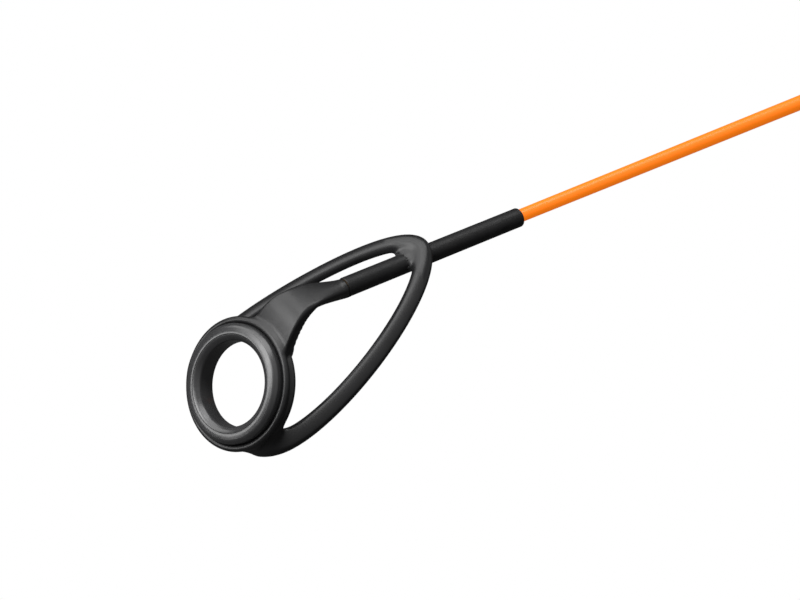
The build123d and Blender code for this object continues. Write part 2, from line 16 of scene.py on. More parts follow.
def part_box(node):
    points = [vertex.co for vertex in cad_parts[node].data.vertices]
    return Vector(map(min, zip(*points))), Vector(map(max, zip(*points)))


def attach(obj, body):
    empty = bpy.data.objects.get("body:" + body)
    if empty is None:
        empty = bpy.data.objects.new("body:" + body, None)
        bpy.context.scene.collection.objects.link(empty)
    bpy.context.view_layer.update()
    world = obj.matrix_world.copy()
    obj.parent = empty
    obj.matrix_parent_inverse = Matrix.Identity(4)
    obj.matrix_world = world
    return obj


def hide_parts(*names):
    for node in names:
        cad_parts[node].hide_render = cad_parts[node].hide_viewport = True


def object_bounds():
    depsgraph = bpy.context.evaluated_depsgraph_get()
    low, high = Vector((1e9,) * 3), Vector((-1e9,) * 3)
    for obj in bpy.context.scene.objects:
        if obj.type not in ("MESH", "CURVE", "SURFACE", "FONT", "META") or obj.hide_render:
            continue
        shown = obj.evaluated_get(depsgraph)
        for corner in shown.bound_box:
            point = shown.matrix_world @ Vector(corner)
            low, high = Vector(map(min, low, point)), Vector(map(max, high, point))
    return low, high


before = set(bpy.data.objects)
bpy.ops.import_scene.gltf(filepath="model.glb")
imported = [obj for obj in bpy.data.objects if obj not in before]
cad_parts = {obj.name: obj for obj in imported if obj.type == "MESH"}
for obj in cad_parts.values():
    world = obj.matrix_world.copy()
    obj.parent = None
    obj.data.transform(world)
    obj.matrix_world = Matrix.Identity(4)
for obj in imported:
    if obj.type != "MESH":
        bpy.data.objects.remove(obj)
cad_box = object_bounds()
MM = 0.001


def box_mm(node):
    """A node's lowest and highest corner in millimetres."""
    low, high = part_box(node)
    return np.array(low) / MM, np.array(high) / MM


def middle(node):
    """The centre of a node's box in millimetres."""
    low, high = box_mm(node)
    return (low + high) / 2


tube_low, tube_high = box_mm("tip_top_tube")
TUBE_END = np.array([tube_high[0], 0.0, (tube_low[2] + tube_high[2]) / 2])
print("frame loaded, tube ends at", TUBE_END.round(2))

# %% [markdown]
# ## Camera
# The camera looks down along the tip from its front, with a long lens, close in. Only the tip-top and the
# last of the blank are in view. It is placed from the tube's front end by an angle round the rod, an angle
# above the horizon, a roll and a distance, so every number says something about the view.

# %% Camera
VIEW_AZIMUTH = 133.85
VIEW_ELEVATION = 42.02
VIEW_ROLL = 12.24
VIEW_DISTANCE = 197.4
VIEW_LENS = 90.0
VIEW_AIM = TUBE_END + np.array([-3.32, 4.67, 0.74])


def place_camera():
    """Back from the aim point: (sin a cos e, -cos a cos e, sin e) times the distance, then the roll."""
    azimuth = math.radians(VIEW_AZIMUTH)
    elevation = math.radians(VIEW_ELEVATION)
    flat = math.cos(elevation)
    back = Vector((math.sin(azimuth) * flat, -math.cos(azimuth) * flat, math.sin(elevation)))
    data = bpy.data.cameras.new("camera")
    data.lens = VIEW_LENS
    data.sensor_width = 36.0
    data.clip_start = 0.01
    data.clip_end = 20.0
    camera = bpy.data.objects.new("camera", data)
    bpy.context.scene.collection.objects.link(camera)
    camera.location = Vector(VIEW_AIM * MM) + back * VIEW_DISTANCE * MM
    camera.rotation_mode = "QUATERNION"
    turn = (-back).to_track_quat("-Z", "Y")
    camera.rotation_quaternion = turn @ Quaternion((0, 0, 1), math.radians(VIEW_ROLL))
    bpy.context.scene.camera = camera


place_camera()
print("camera placed")

# %% [markdown]
# ## Node helpers
# Materials are node trees. Three small helpers keep each one short: one adds a node with its values, one adds
# a colour ramp that is already fed, and one writes a neutral colour.


# %% Node helpers
def add_node(tree, kind, values=None, **settings):
    """A new node with its properties and input values set."""
    node = tree.nodes.new(kind)
    for key, value in settings.items():
        setattr(node, key, value)
    for key, value in (values or {}).items():
        node.inputs[key].default_value = value
    return node


def ramp_node(tree, stops, source):
    """A colour ramp with stops of (position, colour), fed by a source socket."""
    node = add_node(tree, "ShaderNodeValToRGB")
    elements = node.color_ramp.elements
    while len(elements) < len(stops):
        elements.new(0.5)
    for element, (position, colour) in zip(elements, stops):
        element.position = position
        element.color = colour
    tree.links.new(source, node.inputs["Fac"])
    return node


def grey(value):
    """A neutral colour."""
    return (value, value, value, 1.0)


print("node helpers ready")

# %% [markdown]
# ## Studio
# A satin black pressing shows its shape by what it mirrors: a bright soft ceiling above and little below. So
# the sky is a smooth ramp from dark under the horizon to brighter overhead, with three softboxes for the
# highlights: a ceiling, a large one in front and a low strip. Floor and background are plain white to the
# camera and dim to everything else, or they would light the undersides grey.

# %% Sky, floor and softboxes
# The sky's stops: a share of the way from straight down to straight up, and the brightness there.
SKY_STOPS = [(0.0, 0.01), (0.45, 0.015), (0.60, 0.08), (0.80, 0.30), (1.0, 0.55)]
FLOOR_GREY = 0.06
FLOOR_DROP = 140.0
FLOOR_HALF = 6000.0
ROD_MIDDLE_X = ((cad_box[0] + cad_box[1]) / 2).x
# Each softbox's name, place, the point it faces and its size in metres, and its power in watts.
SOFTBOXES = [
    ("ceiling", (ROD_MIDDLE_X, -0.35, 1.1), (ROD_MIDDLE_X, 0.0, 0.0), (1.6, 0.6), 7.0),
    ("front", (1.05, -0.55, 0.60), (0.5, 0.0, 0.0), (1.3, 0.9), 6.5),
    ("low strip", (1.25, -0.35, 0.20), (0.5, 0.0, 0.0), (0.25, 0.9), 2.5),
]


def make_sky():
    """Brightness by the height of the ray's direction; plain white straight to the camera."""
    world = bpy.data.worlds.new("studio")
    bpy.context.scene.world = world
    world.use_nodes = True
    tree = world.node_tree
    tree.nodes.clear()
    direction = add_node(tree, "ShaderNodeTexCoord")
    split = add_node(tree, "ShaderNodeSeparateXYZ")
    tree.links.new(direction.outputs["Generated"], split.inputs["Vector"])
    height = add_node(tree, "ShaderNodeMapRange", {"From Min": -1.0, "From Max": 1.0})
    tree.links.new(split.outputs["Z"], height.inputs["Value"])
    stops = [(place, grey(brightness)) for place, brightness in SKY_STOPS]
    sky = ramp_node(tree, stops, height.outputs["Result"])
    soft = add_node(tree, "ShaderNodeBackground")
    tree.links.new(sky.outputs["Color"], soft.inputs["Color"])
    white = add_node(tree, "ShaderNodeBackground", {"Color": grey(1.0), "Strength": 1.0})
    path = add_node(tree, "ShaderNodeLightPath")
    mix = add_node(tree, "ShaderNodeMixShader")
    tree.links.new(path.outputs["Is Camera Ray"], mix.inputs[0])
    tree.links.new(soft.outputs[0], mix.inputs[1])
    tree.links.new(white.outputs[0], mix.inputs[2])
    output = add_node(tree, "ShaderNodeOutputWorld")
    tree.links.new(mix.outputs[0], output.inputs["Surface"])


def floor_material():
    """White to the camera, a dim matt floor to the object, and clear from below."""
    material = bpy.data.materials.new("studio floor")
    material.use_nodes = True
    tree = material.node_tree
    tree.nodes.clear()
    dim = add_node(tree, "ShaderNodeBsdfDiffuse", {"Color": grey(FLOOR_GREY)})
    white = add_node(tree, "ShaderNodeEmission", {"Color": grey(1.0), "Strength": 1.0})
    clear = add_node(tree, "ShaderNodeBsdfTransparent")
    path = add_node(tree, "ShaderNodeLightPath")
    side = add_node(tree, "ShaderNodeNewGeometry")
    seen = add_node(tree, "ShaderNodeMixShader")
    tree.links.new(path.outputs["Is Camera Ray"], seen.inputs[0])
    tree.links.new(dim.outputs[0], seen.inputs[1])
    tree.links.new(white.outputs[0], seen.inputs[2])
    above = add_node(tree, "ShaderNodeMixShader")
    tree.links.new(side.outputs["Backfacing"], above.inputs[0])
    tree.links.new(seen.outputs[0], above.inputs[1])
    tree.links.new(clear.outputs[0], above.inputs[2])
    output = add_node(tree, "ShaderNodeOutputMaterial")
    tree.links.new(above.outputs[0], output.inputs["Surface"])
    return material


def make_floor():
    """One large square under the object."""
    mesh = bpy.data.meshes.new("floor")
    z = cad_box[0].z - FLOOR_DROP * MM
    half = FLOOR_HALF * MM
    corners = [(-half, -half, z), (half, -half, z), (half, half, z), (-half, half, z)]
    mesh.from_pydata(corners, [], [(0, 1, 2, 3)])
    mesh.materials.append(floor_material())
    floor = bpy.data.objects.new("floor", mesh)
    bpy.context.scene.collection.objects.link(floor)


def softbox(name, place, aim, size, power):
    """A rectangular area light at a place, turned towards a point; places in metres."""
    data = bpy.data.lights.new(name, "AREA")
    data.shape = "RECTANGLE"
    data.size, data.size_y = size
    data.energy = power
    light = bpy.data.objects.new(name, data)
    bpy.context.scene.collection.objects.link(light)
    light.location = place
    light.rotation_mode = "QUATERNION"
    light.rotation_quaternion = (Vector(aim) - Vector(place)).to_track_quat("-Z", "Y")


make_sky()
make_floor()
for box in SOFTBOXES:
    softbox(*box)
bpy.context.scene.view_settings.view_transform = "Standard"
bpy.context.scene.view_settings.look = "None"
print("studio ready,", len(SOFTBOXES), "softboxes")

# %% [markdown]
# ## Shared finishes
# Five effects turn up in the materials: a slow mottle, a fine grain, brushing round the rod, lines drawn
# along it, and the pores of foam. Each is a node group that puts out a mask from Object coordinates, and
# every material places it with its own scale. The shader stays in the material.


# %% Shared node groups
def group_shell(name, inputs, outputs):
    """A shader node group with named float inputs and outputs."""
    tree = bpy.data.node_groups.new(name, "ShaderNodeTree")
    for title, value in inputs:
        socket = tree.interface.new_socket(name=title, in_out="INPUT", socket_type="NodeSocketFloat")
        socket.default_value = value
    for title in outputs:
        tree.interface.new_socket(name=title, in_out="OUTPUT", socket_type="NodeSocketFloat")
    return tree, add_node(tree, "NodeGroupInput"), add_node(tree, "NodeGroupOutput")


def noise_group(name, squeezed, detail):
    """Noise on Object coordinates. Squeezed along the rod it makes rings round it, and with a value below 1
    it makes lines along it. Mask is (noise - 0.5) times Contrast + 0.5, kept between 0 and 1."""
    tree, given, out = group_shell(name, [("Scale", 100.0), ("Contrast", 1.0)], ["Mask"])
    place = add_node(tree, "ShaderNodeTexCoord")
    squeeze = add_node(tree, "ShaderNodeMapping", {"Scale": (squeezed, 1.0, 1.0)})
    noise = add_node(tree, "ShaderNodeTexNoise", {"Detail": detail, "Roughness": 0.55})
    spread = add_node(tree, "ShaderNodeMath", {2: 0.5}, operation="MULTIPLY_ADD", use_clamp=True)
    centred = add_node(tree, "ShaderNodeMath", {1: 0.5}, operation="SUBTRACT")
    tree.links.new(place.outputs["Object"], squeeze.inputs["Vector"])
    tree.links.new(squeeze.outputs["Vector"], noise.inputs["Vector"])
    tree.links.new(given.outputs["Scale"], noise.inputs["Scale"])
    tree.links.new(noise.outputs["Fac"], centred.inputs[0])
    tree.links.new(centred.outputs[0], spread.inputs[0])
    tree.links.new(given.outputs["Contrast"], spread.inputs[1])
    tree.links.new(spread.outputs[0], out.inputs["Mask"])
    return tree


def pore_group():
    """Small round pits: how near each point is to the centre of its Voronoi cell, sharpened."""
    tree, given, out = group_shell("foam pores", [("Scale", 900.0), ("Size", 0.35)], ["Mask"])
    place = add_node(tree, "ShaderNodeTexCoord")
    cells = add_node(tree, "ShaderNodeTexVoronoi")
    edge = add_node(tree, "ShaderNodeMapRange", {"From Min": 0.0, "To Min": 1.0, "To Max": 0.0})
    tree.links.new(place.outputs["Object"], cells.inputs["Vector"])
    tree.links.new(given.outputs["Scale"], cells.inputs["Scale"])
    tree.links.new(cells.outputs["Distance"], edge.inputs["Value"])
    tree.links.new(given.outputs["Size"], edge.inputs["From Max"])
    tree.links.new(edge.outputs["Result"], out.inputs["Mask"])
    return tree


GROUPS = {
    "mottle": noise_group("mottle", 1.0, 3.0),
    "grain": noise_group("grain", 1.0, 8.0),
    "brushing": noise_group("brushing", 40.0, 4.0),
    "draw lines": noise_group("draw lines", 0.02, 4.0),
    "pores": pore_group(),
}
print("node groups:", ", ".join(GROUPS))

# %% [markdown]
# ## Materials
# One recipe covers the solid finishes: two close tones mixed by a mask, roughness that wanders between two
# values by the same or another mask, and a bump from a third. What differs between black coating, foam,
# rubber and metal is the scale and depth of each, so a material is one call with those numbers.


# %% The recipe for a finish
def finish(name, tones, tone_by, rough, rough_by, bump_by, bump, fixed):
    """A Principled material. tone_by, rough_by and bump_by are (group, scale, contrast or size); bump is
    (strength, depth in millimetres); fixed holds the values that are the same all over."""
    material = bpy.data.materials.new(name)
    material.use_nodes = True
    tree = material.node_tree
    shader = tree.nodes["Principled BSDF"]

    def mask(choice):
        """Place a shared group with its scale and its second value."""
        group, scale, second = choice
        node = add_node(tree, "ShaderNodeGroup", node_tree=GROUPS[group])
        node.inputs["Scale"].default_value = scale
        node.inputs[1].default_value = second
        return node.outputs["Mask"]

    colour = ramp_node(tree, [(0.0, tones[0]), (1.0, tones[1])], mask(tone_by))
    tree.links.new(colour.outputs["Color"], shader.inputs["Base Color"])
    wander = add_node(tree, "ShaderNodeMapRange", {"To Min": rough[0], "To Max": rough[1]})
    tree.links.new(mask(rough_by), wander.inputs["Value"])
    tree.links.new(wander.outputs["Result"], shader.inputs["Roughness"])
    relief = add_node(tree, "ShaderNodeBump", {"Strength": bump[0], "Distance": bump[1] * MM})
    tree.links.new(mask(bump_by), relief.inputs["Height"])
    tree.links.new(relief.outputs["Normal"], shader.inputs["Normal"])
    for socket, value in fixed.items():
        shader.inputs[socket].default_value = value
    return material


def clear_resin():
    """Thick clear epoxy: plain transmission with a faint ripple from how it levelled."""
    material = bpy.data.materials.new("wrap resin")
    material.use_nodes = True
    tree = material.node_tree
    shader = tree.nodes["Principled BSDF"]
    ripple = add_node(tree, "ShaderNodeGroup", node_tree=GROUPS["mottle"])
    ripple.inputs["Scale"].default_value = 260.0
    relief = add_node(tree, "ShaderNodeBump", {"Strength": 0.25, "Distance": 0.03 * MM})
    rough = add_node(tree, "ShaderNodeMapRange", {"To Min": 0.0, "To Max": 0.06})
    tree.links.new(ripple.outputs["Mask"], relief.inputs["Height"])
    tree.links.new(ripple.outputs["Mask"], rough.inputs["Value"])
    tree.links.new(relief.outputs["Normal"], shader.inputs["Normal"])
    tree.links.new(rough.outputs["Result"], shader.inputs["Roughness"])
    shader.inputs["Base Color"].default_value = (0.97, 0.96, 0.93, 1.0)
    shader.inputs["Transmission Weight"].default_value = 1.0
    shader.inputs["IOR"].default_value = 1.5
    return material


print("recipe ready")

# %% Every finish on the rod
MATERIALS = {
    "frame_black": finish(
        "black coated steel", [(0.009, 0.009, 0.0095, 1), (0.015, 0.015, 0.016, 1)],
        ("mottle", 500, 2.0), (0.32, 0.40), ("mottle", 900, 2.0), ("grain", 2600, 1.5), (0.05, 0.006),
        {"Coat Weight": 0.15, "Coat Roughness": 0.22, "IOR": 1.5}),
    "ring_ceramic": finish(
        "polished ceramic", [(0.034, 0.034, 0.035, 1), (0.048, 0.048, 0.050, 1)],
        ("mottle", 400, 2.0), (0.20, 0.28), ("grain", 1500, 1.5), ("grain", 4200, 1.5), (0.06, 0.01),
        {"IOR": 1.76}),
    "tube_black": finish(
        "matt black tube", [(0.006, 0.006, 0.0065, 1), (0.011, 0.011, 0.0115, 1)],
        ("mottle", 700, 2.5), (0.42, 0.58), ("mottle", 1400, 2.0), ("grain", 5200, 2.0), (0.35, 0.03),
        {"IOR": 1.45}),
    # The blank's emission is painted light: an orange self-glow that keeps its shaded underside bright,
    # though the blank is no lamp.
    "blank_orange": finish(
        "orange lacquered glass with painted glow", [(0.88, 0.165, 0.004, 1), (0.98, 0.205, 0.010, 1)],
        ("draw lines", 1500, 2.2), (0.30, 0.42), ("draw lines", 3000, 1.5), ("draw lines", 3500, 1.5),
        (0.10, 0.01),
        {"Coat Weight": 0.25, "Coat Roughness": 0.20, "Emission Color": (1.0, 0.21, 0.003, 1.0),
         "Emission Strength": 0.60}),
    "cement": finish(
        "amber cement", [(0.10, 0.055, 0.016, 1), (0.20, 0.11, 0.03, 1)],
        ("mottle", 2500, 2.0), (0.35, 0.6), ("mottle", 3500, 2.0), ("grain", 4000, 2.0), (0.4, 0.04), {}),
    "keeper_steel": finish(
        "bright stainless wire", [grey(0.42), grey(0.56)],
        ("mottle", 900, 2.0), (0.20, 0.32), ("grain", 2500, 2.0), ("draw lines", 4000, 1.5), (0.15, 0.01),
        {"Metallic": 1.0}),
    "wrap_thread": finish(
        "black thread", [(0.012, 0.012, 0.013, 1), (0.03, 0.03, 0.032, 1)],
        ("grain", 3000, 2.0), (0.42, 0.6), ("grain", 4000, 2.0), ("grain", 9000, 2.0), (0.4, 0.02),
        {"Sheen Weight": 0.15}),
    "wrap_resin": clear_resin(),
    "trim_anodised": finish(
        "orange anodised metal", [(0.80, 0.17, 0.008, 1), (0.90, 0.23, 0.014, 1)],
        ("brushing", 900, 2.0), (0.20, 0.34), ("brushing", 2200, 2.0), ("brushing", 1800, 2.0), (0.22, 0.02),
        {"Metallic": 1.0}),
    "foam_grip": finish(
        "closed-cell foam", [(0.020, 0.020, 0.021, 1), (0.046, 0.046, 0.048, 1)],
        ("mottle", 420, 2.6), (0.74, 0.92), ("grain", 1500, 2.0), ("pores", 1300, 0.42), (0.75, 0.12),
        {"Sheen Weight": 0.12, "Sheen Roughness": 0.6}),
    "butt_rubber": finish(
        "moulded rubber", [(0.014, 0.014, 0.014, 1), (0.030, 0.030, 0.031, 1)],
        ("mottle", 260, 2.2), (0.5, 0.68), ("grain", 1400, 2.0), ("grain", 2600, 2.0), (0.35, 0.05), {}),
    "seat_plastic": finish(
        "graphite nylon", [(0.020, 0.021, 0.023, 1), (0.042, 0.043, 0.047, 1)],
        ("grain", 1800, 2.6), (0.30, 0.44), ("mottle", 700, 2.0), ("grain", 2400, 2.0), (0.22, 0.03),
        {"IOR": 1.52}),
    "arbor_plastic": finish(
        "arbor foam board", [grey(0.30), grey(0.40)],
        ("grain", 1500, 2.0), (0.6, 0.8), ("grain", 2200, 2.0), ("grain", 2600, 2.0), (0.4, 0.05), {}),
    "hood_steel": finish(
        "brushed dark steel", [grey(0.16), grey(0.25)],
        ("brushing", 700, 2.2), (0.24, 0.40), ("brushing", 1700, 2.2), ("brushing", 2100, 2.0), (0.25, 0.02),
        {"Metallic": 1.0}),
}
print(len(MATERIALS), "materials")

# %% [markdown]
# ## Making meshes from arrays
# Every new piece is one of two things. Turned and wound pieces are a grid of points over two parameters, and
# the grid's neighbours make the faces. Pressed and bent pieces, whose parts flow into each other, are the
# zero level of a distance field, and a net of quads is drawn round it. Either way the points arrive as one
# array, and the signed volume says whether the faces look outwards.


# %% Mesh helpers
def add_piece(name, points, quads, slot, nodes, body="root", poles=False):
    """An object from points in millimetres and quads, turned outwards, that stands for CAD nodes. With poles,
    the points that meet on the rod's axis are merged."""
    a, b, c, d = (points[quads[:, i]] for i in range(4))
    volume = np.einsum("ij,ij->", a, np.cross(b, c)) + np.einsum("ij,ij->", a, np.cross(c, d))
    if volume < 0:
        quads = quads[:, ::-1]
    mesh = bpy.data.meshes.new(name)
    mesh.vertices.add(len(points))
    mesh.vertices.foreach_set("co", (points * MM).astype(np.float32).ravel())
    mesh.loops.add(quads.size)
    mesh.loops.foreach_set("vertex_index", quads.astype(np.int32).ravel())
    mesh.polygons.add(len(quads))
    mesh.polygons.foreach_set("loop_start", np.arange(0, quads.size, 4, dtype=np.int32))
    mesh.update(calc_edges=True)
    if poles:
        work = bmesh.new()
        work.from_mesh(mesh)
        bmesh.ops.remove_doubles(work, verts=work.verts, dist=1e-7)
        work.to_mesh(mesh)
        work.free()
    mesh.shade_smooth()
    mesh.materials.append(MATERIALS[slot])
    piece = bpy.data.objects.new(name, mesh)
    bpy.context.scene.collection.objects.link(piece)
    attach(piece, body)
    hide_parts(*nodes)
    print(name, len(mesh.polygons), "faces")
    return piece


def grid_quads(rows, columns, close_rows, close_columns, start=0):
    """The quads of a grid of points, wrapped round in either direction."""
    i = np.arange(rows if close_rows else rows - 1)[:, None]
    j = np.arange(columns if close_columns else columns - 1)[None, :]
    i_next = (i + 1) % rows
    j_next = (j + 1) % columns
    corners = [i * columns + j, i * columns + j_next, i_next * columns + j_next, i_next * columns + j]
    return np.stack([np.broadcast_to(c, (i.size, j.size)) for c in corners], -1).reshape(-1, 4) + start


def circle_angles(count):
    """Evenly spaced angles once round a circle."""
    return np.arange(count) * 2 * math.pi / count


def round_profile(corners, radii, steps=8):
    """A closed outline with each corner replaced by an arc: the arc's ends lie r / tan(half the corner's
    angle) from the corner, and its centre lies on the bisector."""
    corners = np.array(corners, float)
    out = []
    for before, corner, after, radius in zip(np.roll(corners, 1, 0), corners, np.roll(corners, -1, 0), radii):
        if radius <= 0:
            out.append(corner[None])
            continue
        to_before = (before - corner) / np.linalg.norm(before - corner)
        to_after = (after - corner) / np.linalg.norm(after - corner)
        half = math.acos(np.clip(to_before @ to_after, -1, 1)) / 2
        bisector = (to_before + to_after) / np.linalg.norm(to_before + to_after)
        centre = corner + bisector * radius / math.sin(half)
        first = corner + to_before * radius / math.tan(half) - centre
        last = corner + to_after * radius / math.tan(half) - centre
        share = np.linspace(0, 1, steps + 1)[:, None]
        arc = first * (1 - share) + last * share
        out.append(centre + arc * radius / np.linalg.norm(arc, axis=1)[:, None])
    return np.concatenate(out)


def fill_in(outline, spacing):
    """More points along the straight runs of a closed outline, none further apart than the spacing."""
    out = []
    for a, b in zip(outline, np.roll(outline, -1, 0)):
        count = max(1, math.ceil(np.linalg.norm(b - a) / spacing))
        out.append(a + (b - a) * (np.arange(count) / count)[:, None])
    return np.concatenate(out)


def turned_piece(name, outline, slot, nodes, body="root", segments=128, change=None, centre=0.0):
    """An outline of (along, radius) turned round the rod's axis, or one beside it: y = r sin t, z = r cos t.
    An outline that starts and ends on the axis stays open. change, if given, returns a new radius for each
    point from along, radius and angle."""
    angle = circle_angles(segments)
    along = np.repeat(outline[:, :1], segments, 1)
    radius = np.repeat(outline[:, 1:], segments, 1)
    if change is not None:
        radius = change(along, radius, angle[None, :])
    points = np.stack([along, radius * np.sin(angle), radius * np.cos(angle)], -1).reshape(-1, 3) + centre
    on_axis = bool((outline[:, 1] == 0).any())
    quads = grid_quads(len(outline), segments, not on_axis, True)
    return add_piece(name, points, quads, slot, nodes, body, poles=on_axis)


print("mesh helpers ready")

# %% [markdown]
# ## Distance fields
# A distance field gives every point in space its distance to a shape, negative inside. Two shapes join with a
# fillet when their fields are blended near where they meet, which is how pressed and soldered metal looks.
# The field is sampled on a grid, each cell that the surface crosses gets one point, and the points are then
# slid down the field's slope onto the surface itself, a share of the way at a time.

# %% Distance field helpers
SETTLE_STEPS = 4
SETTLE_SHARE = 0.8
SETTLE_LIMIT = 0.6


def blend(a, b, fillet):
    """The union of two fields with a fillet: the lower one, less h squared times fillet / 4, where h falls
    from 1 where they are equal to 0 where they differ by the fillet."""
    h = np.clip(fillet - np.abs(a - b), 0, None) / fillet
    return np.minimum(a, b) - h * h * fillet / 4


def carve(a, b, fillet):
    """What is in field a and in field b, with eased edges: the blend of their opposites, turned round."""
    return -blend(-a, -b, fillet)


def rounded_rectangle(a, b, half_a, half_b, radius):
    """The distance to a rectangle with rounded corners, from two offsets from its centre."""
    over_a = np.abs(a) - (half_a - radius)
    over_b = np.abs(b) - (half_b - radius)
    outside = np.hypot(np.maximum(over_a, 0), np.maximum(over_b, 0))
    return outside + np.minimum(np.maximum(over_a, over_b), 0) - radius


def cubic(corners, count=161):
    """Points along a cubic curve: the corners weighed by (1-t)^3, 3t(1-t)^2, 3t^2(1-t) and t^3."""
    t = np.linspace(0, 1, count)[:, None]
    p = np.array(corners, float)
    return (1 - t) ** 3 * p[0] + 3 * t * (1 - t) ** 2 * p[1] + 3 * t**2 * (1 - t) * p[2] + t**3 * p[3]


def side_of_curve(curve, first, second):
    """For points of a plane: the signed distance to a curve, positive on its left, and the share along it
    of the nearest place. Each point is measured to every short piece of the curve."""
    flat = np.stack([first.ravel(), second.ravel()], -1).astype(np.float32)
    best = np.full(len(flat), np.inf, np.float32)
    signed = np.zeros(len(flat), np.float32)
    share = np.zeros(len(flat), np.float32)
    pieces = len(curve) - 1
    for i in range(pieces):
        run = curve[i + 1] - curve[i]
        away = flat - curve[i].astype(np.float32)
        t = np.clip(away @ run / (run @ run), 0, 1)
        gap = away - t[:, None] * run
        distance = np.hypot(gap[:, 0], gap[:, 1])
        left = run[0] * away[:, 1] - run[1] * away[:, 0]
        near = distance < best
        best[near] = distance[near]
        signed[near] = np.where(left >= 0, distance, -distance)[near]
        share[near] = ((i + t) / pieces)[near]
    return signed.reshape(first.shape), share.reshape(first.shape)


def read_field(field, places):
    """The field between its grid points, weighed by nearness along each axis."""
    base = np.clip(np.floor(places).astype(int), 0, np.array(field.shape) - 2)
    part = places - base
    total = np.zeros(len(places))
    for corner in np.ndindex(2, 2, 2):
        at = base + corner
        weight = np.prod(np.where(corner, part, 1 - part), 1)
        total += weight * field[at[:, 0], at[:, 1], at[:, 2]]
    return total


def slope_of(field, places):
    """How fast the field rises along each axis, from half a cell each way."""
    halves = np.eye(3) / 2
    return np.stack([read_field(field, places + e) - read_field(field, places - e) for e in halves], -1)


def net_points(field, cells):
    """One point for each cell: the mean of where the surface crosses the cell's twelve edges."""
    total = np.zeros((len(cells), 3))
    count = np.zeros(len(cells))
    for axis in range(3):
        step = np.eye(3, dtype=int)[axis]
        for other in np.ndindex(2, 2):
            start = cells + np.insert(other, axis, 0)
            end = start + step
            f0 = field[tuple(start.T)]
            f1 = field[tuple(end.T)]
            crossed = (f0 < 0) != (f1 < 0)
            t = np.where(crossed, f0 / np.where(crossed, f0 - f1, 1), 0)
            total += np.where(crossed[:, None], start + t[:, None] * step, 0)
            count += crossed
    return total / count[:, None]


def net_quads(inside, index):
    """One quad round each grid edge that the surface crosses, from the four cells about that edge."""
    found = []
    for axis in range(3):
        u, v = (axis + 1) % 3, (axis + 2) % 3
        lower = np.take(inside, range(inside.shape[axis] - 1), axis)
        upper = np.take(inside, range(1, inside.shape[axis]), axis)
        at = np.argwhere(lower != upper)
        at = at[(at[:, u] > 0) & (at[:, v] > 0)]
        out_first = ~lower[tuple(at.T)]
        step_u, step_v = np.eye(3, dtype=int)[u], np.eye(3, dtype=int)[v]
        ring = [index[tuple((at - back).T)] for back in (0 * step_u, step_u, step_u + step_v, step_v)]
        quad = np.stack(ring, -1)
        found.append(np.where(out_first[:, None], quad[:, ::-1], quad))
    return np.concatenate(found)


def net_of(field, low, cell):
    """Points in millimetres and quads of the field's zero level, on a grid that starts at low. A point moves
    by the field there over its slope squared, and stays near where its cell put it."""
    inside = field < 0
    shape = np.array(field.shape) - 1
    corners = np.zeros(shape, np.int8)
    for i, j, k in np.ndindex(2, 2, 2):
        corners += inside[i : shape[0] + i, j : shape[1] + j, k : shape[2] + k]
    crossed = (corners > 0) & (corners < 8)
    cells = np.argwhere(crossed)
    index = np.full(shape, -1)
    index[crossed] = np.arange(len(cells))
    places = net_points(field, cells)
    settled = places.copy()
    for _ in range(SETTLE_STEPS):
        rise = slope_of(field, settled)
        steep = np.maximum((rise**2).sum(1), 1e-6)
        settled = settled - rise * (read_field(field, settled) / steep)[:, None] * SETTLE_SHARE
        settled = places + np.clip(settled - places, -SETTLE_LIMIT, SETTLE_LIMIT)
    return low + settled * cell, net_quads(inside, index)


def sampling_grid(low, high, cell):
    cell = cell * 1.0
    x = np.arange(low[0] - 2 * cell, high[0] + 3 * cell, cell, dtype=np.float32)
    y = np.arange(0, high[1] + 3 * cell, cell, dtype=np.float32)
    z = np.arange(low[2] - 2 * cell, high[2] + 3 * cell, cell, dtype=np.float32)
    return x[:, None, None], y[None, :, None], z[None, None, :], cell


def mirrored_net(half_field, x, z, cell):
    """The net of a field known from the mid-plane outwards, with its mirror image at -Y."""
    field = np.concatenate([half_field[:, :0:-1], half_field], 1)
    low = np.array([x.min(), -(half_field.shape[1] - 1) * cell, z.min()])
    return net_of(field, low, cell)


print("distance field helpers ready")

# %% [markdown]
# ## Tip-top frame
# On the real rod this is one pressing: a collar rolled round the ring, a spoon-shaped tongue back to the
# tube, and two bowed arms that meet in a teardrop over the tube. Its charm is that no part has an edge where
# it joins the next. Separate swept tubes would show creases at every joint, so the whole pressing is one
# distance field. Places are measured from the tube's front end.

# %% Tip-top frame
TIP_CELL = 0.098
RING_LEAN = 29.3
TIP_SEAT_R = 6.0
SEAT_HALF = 2.78
# The collar's section: how far outside the ring's seat and where along the ring's axis, then the size there.
COLLAR_LIP = (0.36, 0.15, 0.36)
COLLAR_BAND = (0.17, -0.45, 0.62)
COLLAR_BEAD = (0.38, -0.80, 0.28)
# The arms in plan, and their strip: it is turned by the bank, and crowned up to a limit.
ARM_CORNERS = [(-9.32, 0.0), (-9.32, 5.20), (10.56, 10.02), (12.16, 5.75)]
ARM_WIDTH = 1.94
ARM_THICK = 0.86
ARM_EDGE = 0.36
ARM_BANK = 27.0
ARM_CROWN = 0.24
ARM_CROWN_LIMIT = 1.5
ARM_SLOPE = 30.2
ARM_SAG = 0.53
ARM_SPAN = 20.14
APEX_Z = 1.68
WEB_FRONT_X = -7.7
WEB_THICK = 0.62
